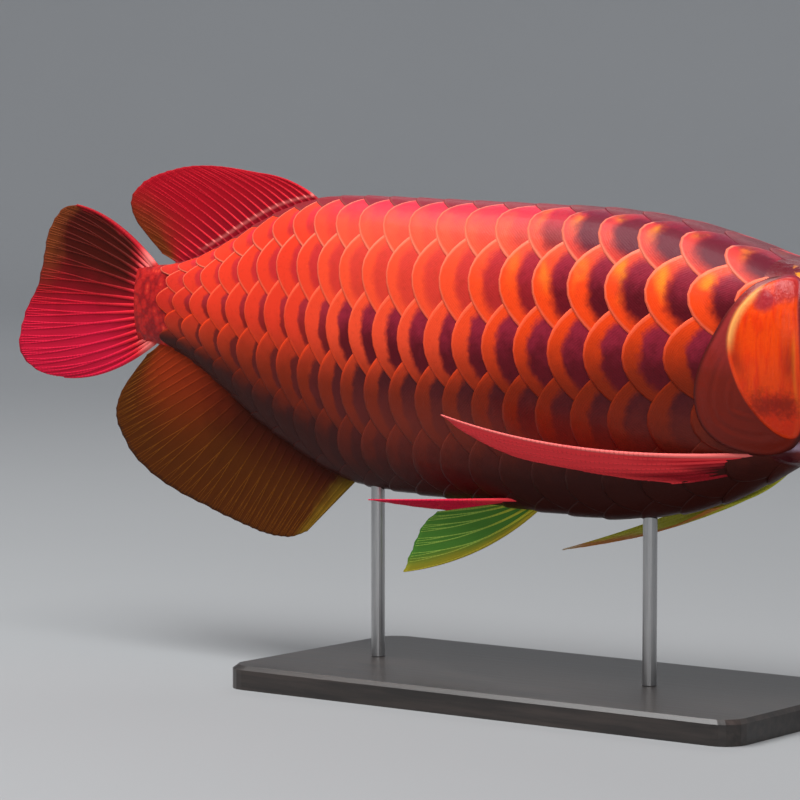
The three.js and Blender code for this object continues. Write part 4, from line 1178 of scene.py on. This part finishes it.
def fin_paint(name, tints):
    """Rays and membrane of one fin: colours from root to edge, then patches over them."""
    p = Paint(name)
    at, rod = p.mark_parts("fin_at"), p.mark("rod")
    streak = p.noise(1.0, 3, 0.6, p.vector(p.times(at[0], 90.0), p.times(at[1], 2.5)))
    uneven = p.grain(60, 3, 0.6)
    u = p.plus(at[0], p.times(uneven, 0.12))
    v = p.plus(at[1], p.times(uneven, 0.22))
    colour = p.mix(p.step(v, 0.08, 0.6), tints["root"], tints["edge"])
    gap = p.mix(p.step(v, 0.12, 0.5), tints["gap"], tints["edge_gap"])
    for across, out, tint, strength in tints.get("patches", ()):
        mask = p.times(p.step(u, *across), p.step(v, *out), strength)
        colour = p.mix(mask, colour, tint)
        gap = p.mix(mask, gap, p.dim(tint, tints.get("depth", (0.6, 0.55, 0.55))))
    if "beads" in tints:
        first, last = tints["beads"]
        bead = p.times(p.hill(at[2], first, (first + last) / 2, last), p.step(at[0], 0.85, 0.7))
        colour = p.mix(p.times(p.step(at[2], last, first), 0.8), colour, tints["gap"])
        colour = p.mix(p.times(bead, 0.7), colour, tints["pale"])
        gap = p.mix(p.times(bead, 0.3), gap, tints["pale"])
    if "flare" in tints:
        colour = p.mix(p.times(p.hill(at[2], -4.0, 6.0, tints["flare"]), 0.7), colour, tints["pale"])
        root = p.step(p.plus(at[2], p.times(uneven, 4.0)), 5.0, 1.0)
        colour, gap = (p.mix(root, tint, tints["skin"]) for tint in (colour, gap))
    joints = p.times(p.step(p.wave(at[2], 0.42), 0.55, 0.95), rod, p.step(at[1], 0.25, 0.4))
    colour = p.mix(rod, gap, colour)
    colour = p.darken(p.times(p.step(streak, 0.5, 0.75), 0.3), colour, (0.55, 0.5, 0.5))
    colour = p.darken(p.times(joints, 0.35), colour, (0.5, 0.45, 0.45))
    height = p.plus(p.times(joints, -0.6), p.times(streak, 0.6), p.times(p.noise(900, 2), 0.4))
    return p.finish(colour, p.plus(0.55, p.times(uneven, 0.2)), p.bump(height, 0.18), specular_ior_level=0.1)


def fin_tints(hue):
    """Colours of each fin. A patch has its reach across the rays and outwards, a colour and a strength.

    Beads are pale spots on the rays and a flare is a pale root, both at millimetres from the body.
    """
    always = (-1, -0.5)
    pink = {"root": hue.fin_pink, "edge": hue.fin_crimson, "gap": hue.fin_gap,
            "edge_gap": hue.fin_crimson_dark, "pale": hue.fin_blush}
    return {
        "dorsal_fin": {
            **pink, "beads": (7.0, 11.0),
            "patches": [((0.62, 0.95), (0.25, 0.7), hue.fin_olive, 0.85)],
        },
        "caudal_fin": {
            **pink, "edge_gap": hue.fin_gap, "flare": 18.0, "skin": hue.tail_root, "depth": (0.75, 0.7, 0.7),
            "patches": [((0.58, 0.3), (0.08, 0.3), hue.fin_brown, 0.92),
                        ((0.5, 0.3), (0.8, 0.95), hue.fin_tan, 0.2),
                        ((0.45, 0.75), (0.15, 0.4), hue.fin_magenta, 0.85),
                        ((0.05, 0.01), always, hue.fin_crimson, 0.7)],
        },
        "anal_fin": {
            "root": hue.fin_brown, "edge": hue.fin_olive, "gap": hue.fin_brown,
            "edge_gap": hue.fin_olive_dark, "depth": (0.8, 0.8, 0.8),
            "patches": [((0.5, 0.9), (0.9, 0.3), hue.fin_rust, 0.85),
                        ((0.1, 0.02), always, hue.fin_yellow, 0.22)],
        },
        "pectoral_fin_right": {
            "root": hue.fin_bright, "edge": hue.fin_bright, "gap": hue.fin_crimson,
            "edge_gap": hue.fin_bright, "depth": (0.75, 0.6, 0.6),
            "patches": [((0.05, 0.01), always, hue.fin_blush, 0.6),
                        ((0.5, 0.75), (0.9, 0.6), hue.fin_gap, 0.85),
                        ((0.25, 0.5), (0.42, 0.2), hue.under_skin, 0.9)],
        },
        "pectoral_fin_left": {
            "root": hue.fin_lime, "edge": hue.fin_lime, "gap": hue.fin_green,
            "edge_gap": hue.fin_lime, "depth": (0.9, 0.9, 0.9),
            "patches": [(always, (0.8, 0.94), hue.fin_tan, 0.9),
                        ((0.3, 0.02), (0.9, 0.98), hue.fin_pale, 0.85)],
        },
        "pelvic_fin_right": {
            "root": hue.fin_bright, "edge": hue.fin_magenta, "gap": hue.fin_crimson,
            "edge_gap": hue.fin_magenta,
        },
        "pelvic_fin_left": {
            "root": hue.fin_lime, "edge": hue.fin_green, "gap": hue.fin_green_dark,
            "edge_gap": hue.fin_green_dark, "depth": (0.8, 0.85, 0.8),
            "patches": [((0.26, 0.02), always, hue.fin_yellow, 0.8)],
        },
    }


def build_fins(sizes, colours):
    tints = fin_tints(colours)
    inputs = {"Sides": "Int", "Membrane": "Object", "Material": "Material"}
    for name, fin in FINS.items():
        web = membrane(name, fin)
        base = line_object(name.replace("_fin", "_rays"), ray_lines(fin))
        values = {"Sides": sizes.ray_sides, "Membrane": web, "Material": fin_paint(name, tints[name])}
        slot = "green_fin" if name.endswith("_left") else "fin"
        place(grown(base, "fin_rays", inputs, finned_tree, values), None, slot, name)
        bpy.data.objects.remove(web)


# Stand and stage

def paint_stand(sizes, colours):
    p = Paint("stand_plate")
    grain = p.noise(18, 5, 0.6, p.stretch((1, 14, 14)))
    colour = p.mix(p.step(grain, 0.3, 0.75), colours.stand_dark, colours.stand_light)
    wood = p.finish(colour, p.plus(0.34, p.times(grain, 0.12)), p.bump(grain, 0.12), coat_weight=0.25,
                    coat_roughness=0.2)
    p = Paint("stand_rod")
    dark_steel, light_steel = (0.36, 0.36, 0.37), (0.62, 0.61, 0.6)
    brushed = p.noise(90, 3, 0.6, p.stretch((12, 12, 0.6)))
    colour = p.mix(brushed, dark_steel, light_steel)
    steel = p.finish(colour, p.plus(0.26, p.times(brushed, 0.14)), p.bump(brushed, 0.03), metallic=1.0)
    for name, paint in (("stand_base", wood), ("stand_rod_front", steel), ("stand_rod_rear", steel)):
        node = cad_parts[name]
        node.data.materials.clear()
        node.data.materials.append(paint)


def build_floor(colours):
    """Pale floor that rises into a round wall."""
    radius, corner, wall = 4.5, 1.5, 3.5
    steps = np.linspace(0, 1, 14)[:-1]
    bend = np.linspace(0, math.pi / 2, 14)
    turn = np.linspace(0, 2 * math.pi, 96, endpoint=False)
    reach = np.concatenate([steps * radius, radius + corner * np.sin(bend), [radius + corner]])[:, None]
    height = np.concatenate([0 * steps, corner - corner * np.cos(bend), [wall]])[:, None]
    reach[0] = 0.001
    points = np.stack([reach * np.cos(turn), reach * np.sin(turn), height + 0 * turn], -1)
    floor = plain_object("floor", points, (), grid_faces(len(reach), len(turn), closed=True))
    floor.data.shade_smooth()
    p = Paint("floor")
    away = p.oval(p.parts(p.object_place), (0, 0), (1, 1))
    # Painted shade: the floor is darker towards its middle, around the stand, and lighter towards the wall
    tint = p.mix(p.step(away, 0.2, 3.5), p.dim(colours.floor, (0.5, 0.5, 0.5)), colours.floor)
    tint = p.darken(p.noise(2.0, 4), tint, (0.95, 0.95, 0.95))
    floor.data.materials.append(p.finish(tint, 0.75, p.bump(p.noise(300, 3), 0.02), specular_ior_level=0.2))


def build_lights(stage):
    for name, spot, aim, size, energy in (
            ("key_light", (-0.25, -0.55, 1.5), (-0.08, 0, 0.17), (1.6, 0.9), stage.key),
            ("fill_light", (0.9, -1.6, 0.6), (-0.05, 0, 0.15), (1.2, 0.8), stage.fill),
            ("rim_light", (-0.6, 1.3, 1.1), (-0.08, 0, 0.17), (1.2, 0.5), stage.rim)):
        lamp = bpy.data.lights.new(name, "AREA")
        lamp.shape = "RECTANGLE"
        lamp.size, lamp.size_y = size
        lamp.energy = energy
        light = bpy.data.objects.new(name, lamp)
        light.location = spot
        light.rotation_euler = (Vector(aim) - Vector(spot)).to_track_quat("-Z", "Y").to_euler()
        bpy.context.scene.collection.objects.link(light)
    world = bpy.data.worlds.new("studio")
    world.use_nodes = True
    back = world.node_tree.nodes["Background"]
    back.inputs["Color"].default_value = (0.88, 0.9, 0.94, 1)
    back.inputs["Strength"].default_value = stage.ambient
    bpy.context.scene.world = world


def build_camera(stage):
    """Camera that looks at the stand and most of the fish, from a distance and two angles about its aim."""
    lens = bpy.data.cameras.new("camera")
    lens.sensor_width = 36
    lens.lens = stage.lens
    lens.clip_end = 50
    camera = bpy.data.objects.new("camera", lens)
    aim = Vector((-0.091, 0, 0.144))
    around, up = stage.around, stage.up
    away = Vector((math.sin(around) * math.cos(up), -math.cos(around) * math.cos(up), math.sin(up)))
    camera.location = aim + away * stage.distance
    camera.rotation_euler = (-away).to_track_quat("-Z", "Y").to_euler()
    bpy.context.scene.collection.objects.link(camera)
    bpy.context.scene.camera = camera
    bpy.context.scene.view_settings.view_transform = "Standard"


def build_stage(stage, colours):
    build_floor(colours)
    build_lights(stage)
    build_camera(stage)


# Settings, operators and panel

def colour(name, red, green, blue, text):
    """A colour setting, given as it looks on a screen, in steps of 0 to 255."""
    default = tuple((value / 255) ** 2.2 for value in (red, green, blue))
    return FloatVectorProperty(name=name, description=text, default=default, size=3, min=0, max=1,
                               subtype="COLOR")


def length(name, size, text):
    """A length setting, given in millimetres."""
    default = size * MILLIMETRE
    return FloatProperty(name=name, description=text, default=default, min=0, subtype="DISTANCE")


def power(name, default, text):
    text = "Power of the light " + text
    return FloatProperty(name=name, description=text, default=default, min=0, unit="POWER")


class ArowanaSizes(bpy.types.PropertyGroup):
    mouth_depth: length("Mouth line depth", 1.7, "Depth of the line between the jaws")
    skin_under: length("Skin under scales", 1.1, "How far the skin lies under the scales' front edges")
    edge_front: length("Front scale edge", 1.6, "Height of a scale's free edge behind the head")
    edge_rear: length("Rear scale edge", 1.0, "Height of a scale's free edge at the tail")
    scale_thickness: FloatProperty(
        name="Scale thickness", description="Thickness of a scale as a share of its edge",
        default=0.62, min=0.2, max=0.9, subtype="FACTOR")
    opercle_lift: length("Gill bone lift", 1.3, "Height of the gill bone over the soft gill cover")
    cornea_bulge: length("Cornea bulge", 0.5, "How far the clear front of the eye stands proud")
    ray_sides: IntProperty(name="Ray sides", description="Sides of a fin ray", default=7, min=4, max=16)


class ArowanaColours(bpy.types.PropertyGroup):
    band_orange: colour("Scale band", 248, 72, 26, "Bright band of the flank scales")
    band_coral: colour("Upper scale band", 250, 84, 58, "Band of the upper flank scales")
    # Painted shade: band colour of the scales low on the body
    band_shaded: colour("Lower scale band", 128, 40, 14, "Band of the lower flank scales")
    # Painted shade: dulled colour of the lower flank
    low_flank_shaded: colour("Lower flank", 124, 50, 38, "Dull lower flank")
    back_pink: colour("Back scale", 224, 44, 66, "Scales along the back")
    tail_red: colour("Tail scale", 236, 62, 40, "Scales towards the tail")
    # Also the painted highlight in the bands of the upper front scales
    flame_and_highlight: colour("Glint", 255, 150, 40, "Yellow-orange glints and flames")
    # Partly a painted highlight, shown only high on the flank
    rim_highlight_pink: colour("Scale rim", 250, 140, 110, "Fine line along a scale's edge")
    core_mauve: colour("Upper scale core", 150, 40, 58, "Purple core of the upper scales")
    # Also painted shade in sunken skin
    core: colour("Scale core", 92, 20, 30, "Dark core of the scales")
    core_red: colour("Red scale core", 206, 44, 56, "Core of the middle upper scales")
    core_grey: colour("Lower scale core", 80, 28, 32, "Grey core of the lower scales")
    # Painted shade: colour of the darkened belly and lowest scales
    belly: colour("Belly", 54, 22, 18, "Belly and lowest scales")
    ridge: colour("Back line", 104, 34, 46, "Line along the back")
    nape: colour("Nape mauve", 112, 24, 50, "Mauve of the nape")
    nape_red: colour("Nape", 160, 32, 52, "Red parts of the nape")
    tail_root: colour("Tail root", 186, 38, 36, "Skin where the tail fin begins")
    # Painted highlight: pale spot on the shoulder behind the throat
    lilac: colour("Girdle", 196, 172, 196, "Pale spot behind the throat")
    under_skin: colour("Skin under scales", 70, 20, 26, "Skin between the scales")
    head_top: colour("Head top", 92, 26, 42, "Top of the head and nape")
    head_red: colour("Head red", 206, 58, 44, "Jaws and lips")
    head_orange: colour("Head orange", 232, 92, 40, "Cheeks")
    throat: colour("Throat", 196, 96, 84, "Throat")
    gill_orange: colour("Gill bone", 246, 72, 2, "Bone of the gill cover")
    gill_rim: colour("Gill rim", 226, 40, 8, "Lower rim of the gill bone")
    gill_cream: colour("Gill streak", 246, 176, 96, "Pale streak behind the gill bone")
    gill_blotch: colour("Gill blotch", 110, 16, 8, "Dark blotch of the gill bone")
    gill_soft: colour("Gill membrane", 122, 30, 10, "Soft edge of the gill cover")
    gill_lilac: colour("Gill lilac", 150, 48, 46, "Lilac edge above the gill bone")
    # Also painted shade in the mouth line and painted shadow along the rim of the gill cover
    dark: colour("Dark line", 36, 12, 16, "Lines between the parts of the head")
    iris_gold: colour("Iris gold", 206, 120, 48, "Light part of the iris")
    iris_dark: colour("Iris dark", 84, 30, 22, "Dark part of the iris")
    barbel_tip: colour("Barbel tip", 230, 96, 60, "Tip of a barbel")
    fin_pink: colour("Fin base", 232, 44, 56, "Rays near the roots of the red fins")
    fin_crimson: colour("Fin crimson", 196, 24, 42, "Outer part of the red fins")
    fin_crimson_dark: colour("Fin dark crimson", 158, 16, 32, "Outer membrane of the red fins")
    fin_bright: colour("Fin bright red", 255, 70, 76, "Right pectoral fin")
    fin_blush: colour("Fin blush", 252, 140, 132, "Pale ray bases and front edges")
    fin_lime: colour("Fin lime", 206, 206, 66, "Left pectoral fin")
    fin_magenta: colour("Fin magenta", 226, 34, 70, "Lower lobe of the tail fin")
    fin_gap: colour("Fin gap", 140, 18, 34, "Membrane near the roots of the red fins")
    fin_brown: colour("Fin brown", 66, 24, 10, "Upper lobe of the tail fin")
    fin_olive: colour("Fin olive", 110, 62, 16, "Olive parts of the fins")
    fin_olive_dark: colour("Fin dark olive", 80, 40, 10, "Membrane of the olive parts")
    fin_rust: colour("Fin rust", 172, 58, 26, "Rear part of the anal fin")
    fin_yellow: colour("Fin yellow", 196, 170, 52, "Front rays of the left fins")
    fin_tan: colour("Fin tan", 214, 120, 58, "Tip of the left pectoral fin")
    fin_pale: colour("Fin edge", 236, 214, 180, "Pale edges")
    fin_green: colour("Fin green", 156, 192, 84, "Left pelvic fin")
    fin_green_dark: colour("Fin dark green", 82, 134, 54, "Membrane of the left pelvic fin")
    stand_dark: colour("Stand dark", 38, 34, 32, "Dark grain of the base")
    stand_light: colour("Stand light", 62, 54, 50, "Light grain of the base")
    floor: colour("Floor", 214, 216, 218, "Floor and wall of the stage")


class ArowanaStage(bpy.types.PropertyGroup):
    key: power("Key light", 34, "above")
    fill: power("Fill light", 4, "in front")
    rim: power("Rim light", 2.5, "behind")
    ambient: FloatProperty(name="Ambient", description="Strength of the light all round", default=0.4, min=0)
    lens: FloatProperty(name="Lens", description="Focal length", default=155.3, min=1, unit="CAMERA")
    distance: FloatProperty(
        name="Distance", description="Camera to fish", default=1.75, min=0.5, unit="LENGTH")
    around: FloatProperty(
        name="Around", description="Camera angle from the fish's right side towards its head",
        default=math.radians(37), subtype="ANGLE")
    up: FloatProperty(
        name="Up", description="Camera angle above level", default=math.radians(4), subtype="ANGLE")


class ArowanaPiece:
    """What the operators share: each runs its maker with the scene's settings."""
    bl_options = {"REGISTER", "UNDO"}

    def execute(self, context):
        type(self).maker(context.scene.arowana_sizes, context.scene.arowana_colours)
        return {"FINISHED"}


class AROWANA_OT_skin(ArowanaPiece, bpy.types.Operator):
    """Make the skin of the head, jaw, trunk and tail stalk"""
    bl_idname = "arowana.skin"
    bl_label = "Skin"
    maker = staticmethod(build_skin)


class AROWANA_OT_scales(ArowanaPiece, bpy.types.Operator):
    """Lay the large overlapping scales on the trunk"""
    bl_idname = "arowana.scales"
    bl_label = "Scales"
    maker = staticmethod(build_scales)


class AROWANA_OT_gill_covers(ArowanaPiece, bpy.types.Operator):
    """Make both gill covers"""
    bl_idname = "arowana.gill_covers"
    bl_label = "Gill Covers"
    maker = staticmethod(build_gill_covers)


class AROWANA_OT_eyes(ArowanaPiece, bpy.types.Operator):
    """Make both eyes"""
    bl_idname = "arowana.eyes"
    bl_label = "Eyes"
    maker = staticmethod(build_eyes)


class AROWANA_OT_barbels(ArowanaPiece, bpy.types.Operator):
    """Make the two barbels of the chin"""
    bl_idname = "arowana.barbels"
    bl_label = "Barbels"
    maker = staticmethod(build_barbels)


class AROWANA_OT_fins(ArowanaPiece, bpy.types.Operator):
    """Make the seven fins"""
    bl_idname = "arowana.fins"
    bl_label = "Fins"
    maker = staticmethod(build_fins)


class AROWANA_OT_stand(ArowanaPiece, bpy.types.Operator):
    """Give the stand its wood and steel"""
    bl_idname = "arowana.stand"
    bl_label = "Stand"
    maker = staticmethod(paint_stand)


class AROWANA_OT_stage(bpy.types.Operator):
    """Set up the floor, lights and camera"""
    bl_idname = "arowana.stage"
    bl_label = "Stage"

    def execute(self, context):
        build_stage(context.scene.arowana_stage, context.scene.arowana_colours)
        return {"FINISHED"}


OPERATORS = (AROWANA_OT_stage, AROWANA_OT_skin, AROWANA_OT_scales, AROWANA_OT_gill_covers, AROWANA_OT_eyes,
             AROWANA_OT_barbels, AROWANA_OT_fins, AROWANA_OT_stand)
GROUPS = {"arowana_sizes": ArowanaSizes, "arowana_colours": ArowanaColours, "arowana_stage": ArowanaStage}


class AROWANA_PT_panel(bpy.types.Panel):
    """Makers and settings of the arowana"""
    bl_idname = "AROWANA_PT_panel"
    bl_label = "Arowana"
    bl_space_type = "VIEW_3D"
    bl_region_type = "UI"
    bl_category = "Arowana"

    def draw(self, context):
        for operator in OPERATORS:
            self.layout.operator(operator.bl_idname)
        for name, group in GROUPS.items():
            box = self.layout.box()
            for key in group.__annotations__:
                box.prop(getattr(context.scene, name), key)


def register():
    for item in (*GROUPS.values(), *OPERATORS, AROWANA_PT_panel):
        bpy.utils.register_class(item)
    for name, group in GROUPS.items():
        setattr(bpy.types.Scene, name, PointerProperty(type=group))


def unregister():
    for name in GROUPS:
        delattr(bpy.types.Scene, name)
    for item in reversed((*GROUPS.values(), *OPERATORS, AROWANA_PT_panel)):
        bpy.utils.unregister_class(item)


def main():
    register()
    bpy.ops.arowana.stage()
    bpy.ops.arowana.skin()
    bpy.ops.arowana.scales()
    bpy.ops.arowana.gill_covers()
    bpy.ops.arowana.eyes()
    bpy.ops.arowana.barbels()
    bpy.ops.arowana.fins()
    bpy.ops.arowana.stand()


if __name__ == "__main__":
    main()
